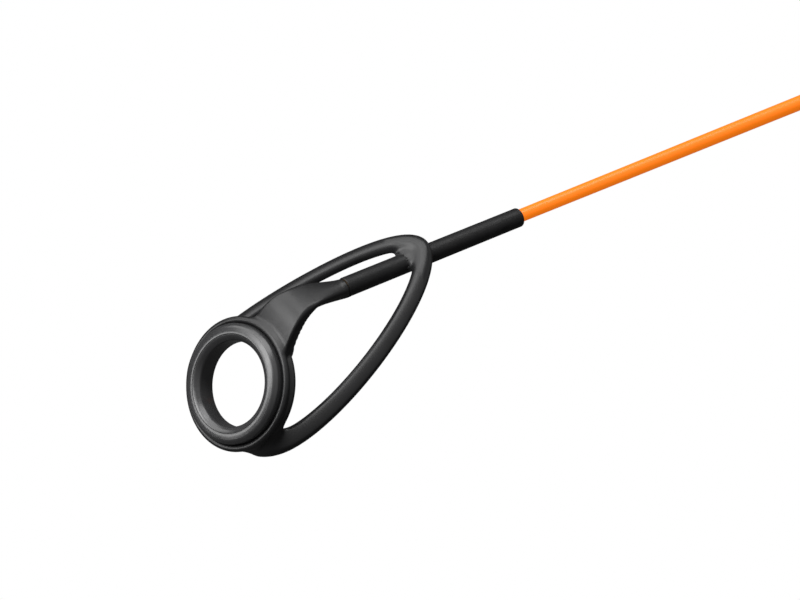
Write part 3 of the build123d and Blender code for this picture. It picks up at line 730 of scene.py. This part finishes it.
# The tongue: its line from the side, its edge from above, and how it changes from neck to ring.
TONGUE_THICK = 0.70
TONGUE_NECK_THICK = 1.15
TONGUE_NECK_X = 4.5
TONGUE_ARCH = 0.06
TONGUE_NECK_ARCH = 0.34
TONGUE_EDGE_R = 0.28
TONGUE_SIDE = [(8.6, -2.9), (7.00, 2.60), (4.10, 0.72), (-0.20, 0.20)]
TONGUE_EDGE = [(9.30, 3.25), (6.30, 2.00), (5.80, 1.62), (-0.20, 0.90)]
FLANGE_WIDE = 0.55
FLANGE_DEEP = 0.75
FLANGE_X = 4.6
FLANGE_RUN = 2.0
# The tube's end: a weld behind the tongue, and a sleeve round the tube where the arms meet.
TUBE_R = 1.03
TUBE_OVERLAP = 0.03
WELD_R = 0.84
WELD_LENGTH = 0.4
SLEEVE_START = 4.0
SLEEVE_SUNK = 0.06
tip_ring_centre = middle("tip_top_ring") - TUBE_END


def ring_offsets(x, y, z, centre, lean):
    """Each point's distance from a leaning ring's axis, and its height along that axis."""
    c, s = math.cos(math.radians(lean)), math.sin(math.radians(lean))
    along = (x - centre[0]) * c + (z - centre[2]) * s
    up = -(x - centre[0]) * s + (z - centre[2]) * c
    return np.sqrt(up**2 + y**2), along


def collar_field(radius, along, seat):
    """The rolled collar: a round lip in front, a waisted band and a bead behind, outside the ring's seat."""
    outside, place, size = COLLAR_LIP
    lip = np.hypot(radius - seat - outside, along - place) - size
    outside, place, size = COLLAR_BAND
    band = rounded_rectangle(radius - seat - outside, along - place, outside, size, 0.15)
    outside, place, size = COLLAR_BEAD
    bead = np.hypot(radius - seat - outside, along - place) - size
    return blend(blend(lip, band, 0.25), bead, 0.22)


def arm_sheet(x):
    """The height of the sheet that arms and web are pressed from: a slope with a sag of 4 s (1 - s)."""
    run = x - ARM_CORNERS[0][0]
    share = run / ARM_SPAN
    return APEX_Z - run * math.tan(math.radians(ARM_SLOPE)) - 4 * ARM_SAG * share * (1 - share)


def arms_field(x, y, z):
    """Both arms and their web: a rounded strip that follows the teardrop in plan and the sheet in height,
    turned about its own middle so that its outer edge hangs lower, and crowned by its width squared."""
    side, _ = side_of_curve(cubic(ARM_CORNERS), *np.broadcast_arrays(x[:, :, 0], y[:, :, 0]))
    side = side[:, :, None]
    height = (z - arm_sheet(x)) * math.cos(math.radians(ARM_SLOPE))
    c, s = math.cos(math.radians(ARM_BANK)), math.sin(math.radians(ARM_BANK))
    across, lift = side * c - height * s, side * s + height * c
    lift = lift + ARM_CROWN * np.minimum(across**2, ARM_CROWN_LIMIT)
    arm = rounded_rectangle(across, lift, ARM_WIDTH / 2, ARM_THICK / 2, ARM_EDGE)
    web = carve(np.maximum(side, x - WEB_FRONT_X), np.abs(height) - WEB_THICK / 2, 0.3)
    return blend(arm, web, 0.6)


def tongue_field(x, y, z):
    """The tongue: a strip along a curve seen from the side, as wide as a second curve says. Across, it sinks
    by (y / half width) squared, most at its neck, and near the ring its edges turn down further."""
    side, _ = side_of_curve(cubic(TONGUE_SIDE), *np.broadcast_arrays(x[:, 0], z[:, 0]))
    side = -side[:, None, :]
    edge = cubic(TONGUE_EDGE)
    half = np.interp(x, edge[::-1, 0], edge[::-1, 1]).astype(np.float32)
    neck = np.clip(1 - x / TONGUE_NECK_X, 0, 1)
    arch = (TONGUE_ARCH + TONGUE_NECK_ARCH * neck) * np.minimum(y / half, 1.2) ** 2
    turn = np.clip((y - half + FLANGE_WIDE) / FLANGE_WIDE, 0, 1.5) ** 2
    flange = FLANGE_DEEP * turn * np.clip((x - FLANGE_X) / FLANGE_RUN, 0, 1)
    thick = TONGUE_THICK + (TONGUE_NECK_THICK - TONGUE_THICK) * neck
    return rounded_rectangle(side + arch + flange, y, thick / 2, half, TONGUE_EDGE_R)


def tip_top_frame():
    """All of the pressing in one field, less the ring's seat and the tube's bore. The last number of each
    blend is the fillet between the two parts."""
    low, high = box_mm("tip_top_frame")
    x, y, z, cell = sampling_grid(low - TUBE_END, high - TUBE_END, TIP_CELL)
    radius, along = ring_offsets(x, y, z, tip_ring_centre, RING_LEAN)
    collar = collar_field(radius, along, TIP_SEAT_R)
    field = blend(collar, arms_field(x, y, z), 1.7)
    field = blend(field, tongue_field(x, y, z), 0.7)
    axis_distance = np.hypot(y, z)
    weld = np.maximum(axis_distance - WELD_R, np.maximum(-x, x - WELD_LENGTH))
    field = blend(field, weld, 0.3)
    sleeve = np.maximum(axis_distance - TUBE_R + SLEEVE_SUNK, x + SLEEVE_START)
    field = blend(field, sleeve, 0.7)
    field = np.where(x < 0, np.maximum(field, TUBE_R - TUBE_OVERLAP - axis_distance), field)
    field = np.where(np.abs(along) < SEAT_HALF, np.maximum(field, TIP_SEAT_R - radius), field)
    points, quads = mirrored_net(field, x, z, cell)
    add_piece("tip_top_pressing", points + TUBE_END, quads, "frame_black", ["tip_top_frame"])


tip_top_frame()

# %% [markdown]
# ## Rings
# The hard rings are turned shapes with a broad rounded face and a polished throat where the line runs. One
# outline serves all four. Each is turned about its own leaning axis.

# %% Ceramic rings
TIP_RING = 12.0
RING_WIDTH = 1.80
RING_HALF = 1.38
GUIDE_LEAN = 12.0
GUIDE_RINGS = {"guide_1": 20.0, "guide_2": 16.0, "guide_3": 12.0}


def ring_outline(seat):
    """The ring's section as (radius, height): straight outside, crowned faces, a well-rounded throat."""
    inner = seat - RING_WIDTH
    corners = [
        (seat, -RING_HALF + 0.08), (seat, RING_HALF - 0.42), (seat - 0.34, RING_HALF - 0.10),
        (seat - 0.90, RING_HALF), (inner + 0.50, RING_HALF - 0.05), (inner + 0.05, RING_HALF - 0.45),
        (inner, 0.0), (inner + 0.05, 0.45 - RING_HALF), (inner + 0.50, -RING_HALF),
    ]
    radii = [0.25, 0.30, 0.5, 1.2, 0.75, 0.45, 6.0, 0.45, 0.7]
    return round_profile(corners, radii, 7)


def ceramic_ring(name, diameter, lean, segments=192):
    """The outline turned round the leaning axis (cos a, 0, sin a), whose sideways directions are Y and
    (-sin a, 0, cos a)."""
    outline = ring_outline(diameter / 2 - 0.01)
    tilt = math.radians(lean)
    axis = np.array([math.cos(tilt), 0, math.sin(tilt)])
    up = np.array([-math.sin(tilt), 0, math.cos(tilt)])
    angle = circle_angles(segments)
    sideways = np.sin(angle)[:, None] * np.array([0, 1.0, 0]) + np.cos(angle)[:, None] * up
    points = outline[:, 0][:, None, None] * sideways[None] + outline[:, 1][:, None, None] * axis
    points = points.reshape(-1, 3) + middle(name)
    quads = grid_quads(len(outline), segments, True, True)
    add_piece(name + "_ceramic", points, quads, "ring_ceramic", [name])


ceramic_ring("tip_top_ring", TIP_RING, RING_LEAN)
for guide, diameter in GUIDE_RINGS.items():
    ceramic_ring(guide + "_ring", diameter, GUIDE_LEAN)

# %% [markdown]
# ## Tube and blank
# The tube is drawn steel with a matt coat and rolled ends. The blank is a long cone. It gets many rows along
# its length only because its lacquer is very slightly uneven, as hand-finished glass is.

# %% Tube and blank
blank_low, blank_high = box_mm("blank")
BLANK_TAPER = 0.0073
BLANK_BUTT_R = blank_high[1]
TUBE_BORE_R = 0.86
LACQUER_WAVE = 0.003
# How far a bore reaches into what it sits on, so that no gap shows.
SUNK = 0.02


def blank_radius(x):
    """The blank's radius at a place along the rod."""
    return BLANK_BUTT_R - BLANK_TAPER / 2 * (x - blank_low[0])


def tip_top_tube():
    """A tube wall with rolled ends, on the tube's own slightly low axis."""
    length = tube_high[0] - tube_low[0]
    corners = [(-length, TUBE_BORE_R), (0.0, TUBE_BORE_R), (0.0, TUBE_R), (-length, TUBE_R)]
    outline = fill_in(round_profile(corners, [0.05, 0.06, 0.11, 0.11], 6), 0.8)
    turned_piece("tip_top_black_tube", outline, "tube_black", ["tip_top_tube"], segments=96, centre=TUBE_END)


def waviness(along, radius, angle):
    """The lacquer sinks by 0.003 mm times (2 - sin(x / 5.3 + t) - sin(x / 11.9 - 2 t))."""
    wave = LACQUER_WAVE * (2 - np.sin(along / 5.3 + angle) - np.sin(along / 11.9 - 2 * angle))
    return np.maximum(radius - wave * (radius > 0), 0)


def blank():
    """The radius falls evenly from the butt to the tip, less the waviness, and both ends are closed."""
    x = np.linspace(blank_low[0], blank_high[0], 420)
    rows = np.stack([x, blank_radius(x)], -1)
    outline = np.concatenate([[[x[0], 0.0]], rows, [[x[-1], 0.0]]])
    turned_piece("glass_blank", outline, "blank_orange", ["blank"], segments=72, change=waviness)


tip_top_tube()
blank()

# %% [markdown]
# ## Running guides
# Each guide is a smaller or larger copy of one pressing: a collar, one leg forward, two splayed legs back,
# and a ground foot at each end that lies on the blank. The same field helpers make them, from the ring's size
# and how far it hangs below the blank.

# %% Running guide frames
GUIDE_CELL = 0.135
FOOT_THICK = 0.60
FOOT_LENGTH = 9.0
LEG_HALF = 0.525
# Where the feet start, before and behind the ring, as a share of how far it hangs below the blank.
FRONT_REACH = 0.30
REAR_REACH = 0.95


def leg_offset(curve, x, z):
    """Each point's distance from a leg's curve seen from the side, and the share along it. The distance is
    scaled so that the strip, which thins towards the foot, is 1 mm thick all along."""
    side, share = side_of_curve(curve, *np.broadcast_arrays(x[:, 0], z[:, 0]))
    thick = LEG_HALF + (FOOT_THICK / 2 - LEG_HALF) * share[:, None, :]
    return side[:, None, :] / thick * 0.5, share[:, None, :]


def guide_legs(x, y, z, drop, seat, under):
    """The front leg's strip and the two rear legs, which follow one curve from the side and one from the
    end."""
    tilt = math.radians(GUIDE_LEAN)
    foot = -under - FOOT_THICK / 2
    top = (-seat * math.sin(tilt) - 0.5, -drop + seat * math.cos(tilt) - 0.1)
    front_x = FRONT_REACH * drop
    front = cubic([top, (top[0] + 0.4, top[1] + 1.8), (front_x - 2.6, foot), (front_x + 1.2, foot)])
    side, share = leg_offset(front, x, z)
    leg = rounded_rectangle(side, y, 0.5, 1.55 - 0.55 * share, 0.25)
    rear_x = -REAR_REACH * drop
    bend = (-0.25 * drop, -0.6 * drop)
    rear = cubic([(-0.6, -drop - 1), bend, (rear_x + 3.2, foot), (rear_x - 1.2, foot)])
    side, _ = leg_offset(rear, x, z)
    outer = seat + 0.72
    end = (outer - 0.36, -drop - 1)
    splay = cubic([(0.5, -under), (1.0, -0.35 * drop), (outer * 0.98, -0.62 * drop), end])
    across, _ = side_of_curve(splay, *np.broadcast_arrays(y[0], z[0]))
    legs = rounded_rectangle(side, across[None], 0.5, 0.78, 0.30)
    return leg, legs


def guide_foot(x, y, z, start, way, under):
    """A foot lying on the blank. From a quarter of its length on it is ground down to a thin edge, and it
    narrows by 0.35 of the share squared."""
    along = (x - start) * way
    share = np.clip(along / FOOT_LENGTH, 0, 1)
    thick = FOOT_THICK * np.clip(1.25 - share * 1.05, 0.2, 1.0)
    half = 1.0 - 0.35 * share**2
    middle_z = -under - thick / 2 + 0.1
    strip = rounded_rectangle(y, z - middle_z, half, thick / 2 + 0.1, 0.12)
    return carve(strip, np.maximum(-along - 1.0, along - FOOT_LENGTH), 0.2)


def guide_frame(guide, diameter):
    """Collar, legs and feet in one field, less the ring's seat and the blank."""
    centre = middle(guide + "_ring")
    under = blank_radius(centre[0])
    low, high = box_mm(guide + "_frame")
    shift = np.array([centre[0], 0.0, 0.0])
    drop, seat = -centre[2], diameter / 2
    x, y, z, cell = sampling_grid(low - shift, high - shift, GUIDE_CELL)
    radius, along = ring_offsets(x, y, z, [0.0, 0.0, -drop], GUIDE_LEAN)
    leg, legs = guide_legs(x, y, z, drop, seat, under)
    field = blend(collar_field(radius, along, seat), legs, 0.9)
    field = blend(field, leg, 0.9)
    field = blend(field, guide_foot(x, y, z, FRONT_REACH * drop, 1.0, under), 0.5)
    field = blend(field, guide_foot(x, y, z, -REAR_REACH * drop, -1.0, under), 0.5)
    field = np.where(np.abs(along) < SEAT_HALF, np.maximum(field, seat - radius), field)
    field = np.maximum(field, blank_radius(centre[0] + x) - SUNK - np.hypot(y, z))
    points, quads = mirrored_net(field, x, z, cell)
    add_piece(guide + "_pressing", points + shift, quads, "frame_black", [guide + "_frame"])


for guide, diameter in GUIDE_RINGS.items():
    guide_frame(guide, diameter)

# %% [markdown]
# ## Thread and resin
# Nylon thread is wound edge to edge over each foot, then flooded with epoxy that levels into a smooth lens.
# The thread is real geometry, one rounded ridge for each turn in a helix, and the resin is a clear shell over
# it.

# %% Thread wraps and resin
THREAD = 0.26
THREAD_COVER = 0.28
RESIN_COVER = 0.14
RESIN_RUN_OUT = 0.9
RIDGE_DEPTH = 0.05
OVAL_SLACK = 0.06
OVAL_DROP = 0.425
# A wrap starts this far inside a guide's foot and ends this far past it.
WRAP_INSET = 1.6
WRAP_PAST = 3.0
KEEPER_WRAP = (3.0, 12.0)


def oval(x, angle, radius, cover, rise):
    """An oval section round blank and foot, deeper below: half width a, half height b, dropped by b - a."""
    a = radius + OVAL_SLACK + cover * rise
    b = a + OVAL_DROP * (0.35 + 0.65 * rise)
    return a * np.sin(angle), a - b + b * np.cos(angle)


def sleeve_points(start, end, cover, slope, rows, segments, ridge):
    """A sleeve's closed section carried round: the outer oval, which rises over a short slope at each end,
    then back along the blank. The ridge is depth times (1 - (2f - 1) squared), f the share of a turn."""
    x = np.linspace(start, end, rows)
    radius = blank_radius((start + end) / 2)
    angle = circle_angles(segments)
    near_end = np.clip(np.minimum(x - start, end - x) / slope, 0, 1)[:, None]
    rise = 0.1 + 0.9 * np.sin(near_end * math.pi / 2) ** 0.8
    turn = (x[:, None] / THREAD + angle / (2 * math.pi)) % 1
    y, z = oval(x[:, None], angle[None], radius, cover, rise)
    low = ridge * (2 * turn - 1) ** 2
    size = np.hypot(y, z)
    outer = np.stack([np.repeat(x[:, None], segments, 1), y * (1 - low / size), z * (1 - low / size)], -1)
    inner_x = np.linspace(end, start, 8)
    inner_r = blank_radius(inner_x)[:, None] - 0.03
    inner_along = np.repeat(inner_x[:, None], segments, 1)
    inner = np.stack([inner_along, inner_r * np.sin(angle), inner_r * np.cos(angle)], -1)
    points = np.concatenate([outer, inner])
    return points.reshape(-1, 3), grid_quads(len(points), segments, True, True)


def sleeve_pair(name, spans, cover, slope, rows_per_mm, segments, ridge, slot, node):
    """Two sleeves of one node in one mesh."""
    points, quads, count = [], [], 0
    for start, end in spans:
        rows = math.ceil((end - start) * rows_per_mm)
        p, q = sleeve_points(start, end, cover, slope, rows, segments, ridge)
        points.append(p)
        quads.append(q + count)
        count += len(p)
    add_piece(name, np.concatenate(points), np.concatenate(quads), slot, [node])


def wrap_spans(owner, centre_x, drop):
    """Where the thread lies on each side of a guide's ring, or of the hook keeper's eye."""
    if owner == "hook_keeper":
        near, far = KEEPER_WRAP
        return [(centre_x - far, centre_x - near), (centre_x + near, centre_x + far)]
    front, rear = centre_x + FRONT_REACH * drop, centre_x - REAR_REACH * drop
    return [(rear - FOOT_LENGTH - WRAP_PAST, rear - WRAP_INSET),
            (front + WRAP_INSET, front + FOOT_LENGTH + WRAP_PAST)]


def wrap_owner(owner):
    """Thread and resin for one guide or for the hook keeper."""
    centre = middle(owner + "_ring") if owner in GUIDE_RINGS else middle("hook_keeper_strap")
    spans = wrap_spans(owner, centre[0], -centre[2])
    sleeve_pair(owner + "_thread", spans, THREAD_COVER, 0.8, 5 / THREAD, 40, RIDGE_DEPTH, "wrap_thread",
                owner + "_wraps")
    wider = [(a - RESIN_RUN_OUT, b + RESIN_RUN_OUT) for a, b in spans]
    sleeve_pair(owner + "_resin", wider, THREAD_COVER + RESIN_COVER, 1.9, 5, 72, 0.0, "wrap_resin",
                owner + "_coats")


for owner in [*GUIDE_RINGS, "hook_keeper"]:
    wrap_owner(owner)

# %% [markdown]
# ## Hook keeper
# A stainless wire loop swings in the rolled eye of a thin strap. The wire is a circle carried round a rounded
# rectangle, and the strap is a small distance field, because its eye is rolled from the same strip.

# %% Hook keeper
WIRE_R = 0.45
EYE_R = 1.05
EYE_HALF = 1.5
EYE_CLEAR = 0.07
LOOP_HALF = 3.7
LOOP_HEIGHT = 8.0
STRAP_HALF = 10.0
keeper_low, keeper_high = box_mm("hook_keeper_strap")
KEEPER_X = (keeper_low[0] + keeper_high[0]) / 2
EYE_Z = keeper_low[2] + EYE_R


def keeper_loop():
    """A wire carried round a closed path in the plane across the rod; at each place the circle's two
    directions are the rod's axis and the path's own normal."""
    corners = [(-LOOP_HALF, 0.0), (LOOP_HALF, 0.0), (LOOP_HALF, -LOOP_HEIGHT), (-LOOP_HALF, -LOOP_HEIGHT)]
    path = fill_in(round_profile(corners, [1.3, 1.3, 3.0, 3.0], 14), 0.4)
    run = np.roll(path, -1, 0) - np.roll(path, 1, 0)
    run /= np.linalg.norm(run, axis=1)[:, None]
    normal = np.stack([-run[:, 1], run[:, 0]], -1)
    angle = circle_angles(28)
    x = KEEPER_X + WIRE_R * np.sin(angle)[None]
    y = path[:, :1] + WIRE_R * np.cos(angle)[None] * normal[:, :1]
    z = EYE_Z + path[:, 1:] + WIRE_R * np.cos(angle)[None] * normal[:, 1:]
    points = np.stack(np.broadcast_arrays(x, y, z), -1).reshape(-1, 3)
    quads = grid_quads(len(path), len(angle), True, True)
    add_piece("hook_keeper_wire", points, quads, "keeper_steel", ["hook_keeper_loop"], "keeper_loop")


def keeper_strap():
    """A rounded strip under the blank, blended with the rolled eye, less the wire's hole and the blank."""
    shift = np.array([KEEPER_X, 0.0, 0.0])
    x, y, z, cell = sampling_grid(keeper_low - shift, keeper_high - shift, 0.075)
    under = blank_radius(KEEPER_X)
    strip = rounded_rectangle(y, z + under + 0.2, 1.0, 0.4, 0.14)
    strip = carve(strip, np.abs(x) - STRAP_HALF, 0.15)
    from_pivot = np.hypot(x, z - EYE_Z)
    eye = carve(from_pivot - EYE_R, np.abs(y) - EYE_HALF, 0.2)
    field = carve(blend(strip, eye, 0.5), WIRE_R + EYE_CLEAR - from_pivot, 0.12)
    field = np.maximum(field, blank_radius(KEEPER_X + x) - SUNK - np.hypot(y, z))
    points, quads = mirrored_net(field, x, z, cell)
    add_piece("hook_keeper_strip", points + shift, quads, "keeper_steel", ["hook_keeper_strap"])


keeper_loop()
keeper_strap()

# %% [markdown]
# ## Grips, trims and cap
# The grips are turned closed-cell foam: soft rounded ends, a skin that is never quite even, pores in the
# material. The trims and the winding check are lathe-turned and anodised, with fine grooves. The rubber cap
# is moulded with grooves for grip.

# %% Handle pieces
grip_low, grip_high = box_mm("rear_grip")
fore_low, fore_high = box_mm("fore_grip")
FORE_FRONT_R = 6.2
DOME_R = 5.0
CAP_GROOVES = (6.4, 8.2, 10.0)
CAP_GROOVE = 0.42


def uneven(depth):
    """A change for turned_piece: the skin sinks by up to the depth, in slow waves along and round."""

    def change(along, radius, angle):
        """Depth times (0.5 + (sin(0.31 x + 2 t) sin(0.17 x - 3 t) + sin(0.9 x + t) / 2) / 3), skin only."""
        slow = np.sin(along * 0.31 + 2 * angle) * np.sin(along * 0.17 - 3 * angle)
        wave = slow + np.sin(along * 0.9 + angle) / 2
        return radius - depth * (0.5 + wave / 3) * (radius > BLANK_BUTT_R + 1)

    return change


def rear_grip():
    """The straight grip, with its front edge rounded and its rear edge under the cap's lip."""
    bore, r = blank_radius(0.0) - SUNK, grip_high[2]
    corners = [(grip_low[0], bore), (grip_high[0], bore), (grip_high[0], r), (grip_low[0], r)]
    outline = fill_in(round_profile(corners, [0, 0, 1.6, 0.5], 10), 0.9)
    skin = uneven(0.05)
    piece = turned_piece("rear_foam_grip", outline, "foam_grip", ["rear_grip"], segments=144, change=skin)


def fore_grip():
    """The short grip, its side one cubic from the trim's size down to the winding check's."""
    bore = blank_radius(fore_low[0]) - SUNK
    x, length = fore_low[0], fore_high[0] - fore_low[0]
    front = [(x + length, FORE_FRONT_R), (x + length * 0.6, FORE_FRONT_R + 0.2)]
    side = cubic([*front, (x + length * 0.45, fore_high[2]), (x, fore_high[2])], 60)
    outline = fill_in(np.concatenate([[(x, bore), (x + length, bore)], side]), 0.9)
    skin = uneven(0.04)
    piece = turned_piece("fore_foam_grip", outline, "foam_grip", ["fore_grip"], segments=144, change=skin)


def butt_cap():
    """A domed cap with three moulded grooves round it. Its flat end gets rows of its own inside the dome."""
    low, high = box_mm("butt_cap")
    r = high[2]
    corners = [(high[0], 0.0), (high[0], r), (low[0], r), (low[0], 0.0)]
    walls = fill_in(round_profile(corners, [0, 0.35, DOME_R, 0], 22)[:-1], 0.22)
    walls = walls[walls[:, 1] > r - DOME_R - 1e-6]
    end = np.stack([np.full(18, low[0]), np.linspace(r - DOME_R, 0.0, 18)], -1)
    outline = np.concatenate([[(high[0], 0.0)], walls, end])

    def grooves(along, radius, angle):
        """Each groove sinks by w exp(-(d / w) squared), w its width and d the distance from its middle."""
        sunk = sum(np.exp(-(((along - low[0] - at) / CAP_GROOVE) ** 2)) for at in CAP_GROOVES)
        return np.where(radius > r - 3.0, radius - CAP_GROOVE * sunk, radius)

    turned_piece("rubber_butt_cap", outline, "butt_rubber", ["butt_cap"], segments=144, change=grooves)


def trim_ring(node):
    """A ring with chamfered, slightly eased edges and a shallow groove turned round its middle."""
    low, high = box_mm(node)
    bore = blank_radius(high[0]) - SUNK
    x0, x1, r = low[0], high[0], high[2]
    mid = x0 + (x1 - x0) / 2
    corners = [(x0, bore), (x1, bore), (x1, r - 0.5), (x1 - 0.5, r), (mid + 0.45, r), (mid + 0.2, r - 0.25),
               (mid - 0.2, r - 0.25), (mid - 0.45, r), (x0 + 0.5, r), (x0, r - 0.5)]
    radii = [0, 0, 0.15, 0.15, 0.08, 0.05, 0.05, 0.08, 0.15, 0.15]
    outline = round_profile(corners, radii, 4)
    turned_piece(node + "_anodised", outline, "trim_anodised", [node], segments=144)


def winding_check():
    """A cone with a rolled rear rim and a fine groove near its front."""
    low, high = box_mm("winding_check")
    bore = blank_radius(high[0]) - SUNK
    x, r = low[0], high[2]
    corners = [(x, bore), (x + 4.0, bore), (x + 4.0, 2.9), (x + 2.9, 3.97), (x + 2.75, 3.85), (x + 2.55, 4.3),
               (x + 1.2, r), (x, r)]
    outline = round_profile(corners, [0, 0.1, 0.35, 0.06, 0.05, 0.06, 0.4, 0.4], 5)
    turned_piece("winding_check_cone", outline, "trim_anodised", ["winding_check"], segments=96)


rear_grip()
fore_grip()
butt_cap()
trim_ring("rear_trim_ring")
trim_ring("fore_trim_ring")
winding_check()

# %% [markdown]
# ## Hoods and lock nut
# The hoods are pressed steel: a band round the barrel that swells into a pocket for the reel's foot, with no
# sharp corner anywhere, so they are distance fields again. The nut is a turned sleeve whose outer wall dips
# into grooves. Each groove is the part of a circle that lies inside the nut.

# %% Hoods and lock nut
SEAT_R = 8.5
HOOD_WALL = 0.9
POCKET_DEPTH = 10.5
POCKET_HALF = 7.2
POCKET_FLOOR = -11.6
POCKET_BACK = 1.6
BACK_RISE = 3.4
HOOD_CELL = 0.21
NUT_PLAY = 0.06
NUT_R = 10.6
NUT_GROOVES = 24
GROOVE_R = 0.75
GROOVE_OUT = 0.34
GROOVE_EASE = 0.12


def hood(name, node, body, bore, way, key):
    """Band and pocket in one field, in a frame whose X runs from the band's plain end to the pocket's mouth.
    The pocket's back wall slopes, and its hollow keeps a wall's thickness from it. The way is -1 for a hood
    whose mouth faces the butt, and a key rides in the barrel's slot."""
    low, high = box_mm(node)
    length = high[0] - low[0]
    origin = low[0] if way > 0 else high[0]
    size = np.array([length, high[1], high[2]])
    x, y, z, cell = sampling_grid(np.array([0.0, 0, low[2]]), size, HOOD_CELL)
    radius = np.hypot(y, z)
    past_ends = np.abs(x - length / 2) - length / 2
    band = carve(radius - (bore + HOOD_WALL), past_ends, 0.5)
    start = length - POCKET_DEPTH - POCKET_BACK
    drop = -POCKET_FLOOR + HOOD_WALL
    bulge = rounded_rectangle(y, z + drop / 2, POCKET_HALF + HOOD_WALL, drop / 2, 3.0)
    back = (start - x) * 0.75 - (z + drop - BACK_RISE) * 0.66
    bulge = carve(bulge, np.maximum(np.maximum(start - x, back), x - length), 1.0)
    field = blend(band, bulge, 2.0)
    hollow = rounded_rectangle(y, z - POCKET_FLOOR / 2, POCKET_HALF, -POCKET_FLOOR / 2, 2.0)
    hollow = carve(hollow, np.maximum(length - POCKET_DEPTH - x, back + HOOD_WALL), 1.0)
    field = carve(field, -hollow, 0.35)
    field = carve(field, bore - radius, 0.35)
    if key:
        slide = rounded_rectangle(y, z - bore + 0.5, 1.2, 0.8, 0.1)
        field = np.minimum(field, np.maximum(slide, past_ends + 1.0))
    points, quads = mirrored_net(field, x, z, cell)
    points[:, 0] = origin + way * points[:, 0]
    add_piece(name, points, quads, "hood_steel", [node], body)


def lock_nut():
    """Outer radius (R + e) cos a - sqrt(q squared - ((R + e) sin a) squared) inside a groove, a the angle
    from its centre line, q its radius and e how far its centre stands outside the nut; else R. A soft
    minimum of the two eases each groove's edge."""
    low, high = box_mm("lock_nut")
    x0, x1, r, bore = low[0], high[0], NUT_R, SEAT_R + NUT_PLAY
    corners = [(x0, bore), (x1, bore), (x1, r - 0.9), (x1 - 0.9, r), (x0 + 0.9, r), (x0, r - 0.9)]
    outline = fill_in(round_profile(corners, [0.15, 0.15, 0.3, 0.5, 0.5, 0.3], 5), 0.6)

    def grooves(along, radius, angle):
        """The wall's radius in the nearest groove, for points of the outer wall only."""
        pitch = 2 * math.pi / NUT_GROOVES
        a = (angle + pitch / 2) % pitch - pitch / 2
        reach = r + GROOVE_OUT
        inside = np.clip(GROOVE_R**2 - (reach * np.sin(a)) ** 2, 0, None)
        wall = np.where(inside > 0, reach * np.cos(a) - np.sqrt(inside), r)
        soft = GROOVE_EASE
        eased = -soft * np.log(np.exp(-radius / soft) + np.exp(-wall / soft)) + soft * 0.69
        return np.where(radius > bore + 0.4, np.minimum(radius, eased), radius)

    turned_piece("knurled_lock_nut", outline, "seat_plastic", ["lock_nut"], "nut", NUT_GROOVES * 20, grooves)


hood("fixed_steel_hood", "fixed_hood", "root", SEAT_R, -1, False)
hood("sliding_steel_hood", "sliding_hood", "hood", SEAT_R + NUT_PLAY, 1, True)
lock_nut()

# %% [markdown]
# ## Parts kept from the frame
# The threaded barrel, its arbors and the cement already have the right shape, so they stay and only get their
# finish, through the object's own material slots.

# %% Finishes for the kept parts
KEPT = {"reel_seat_body": "seat_plastic", "seat_arbors": "arbor_plastic", "tip_top_cement": "cement"}
for node, slot in KEPT.items():
    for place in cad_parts[node].material_slots:
        place.link = "OBJECT"
        place.material = MATERIALS[slot]
print("kept parts finished")
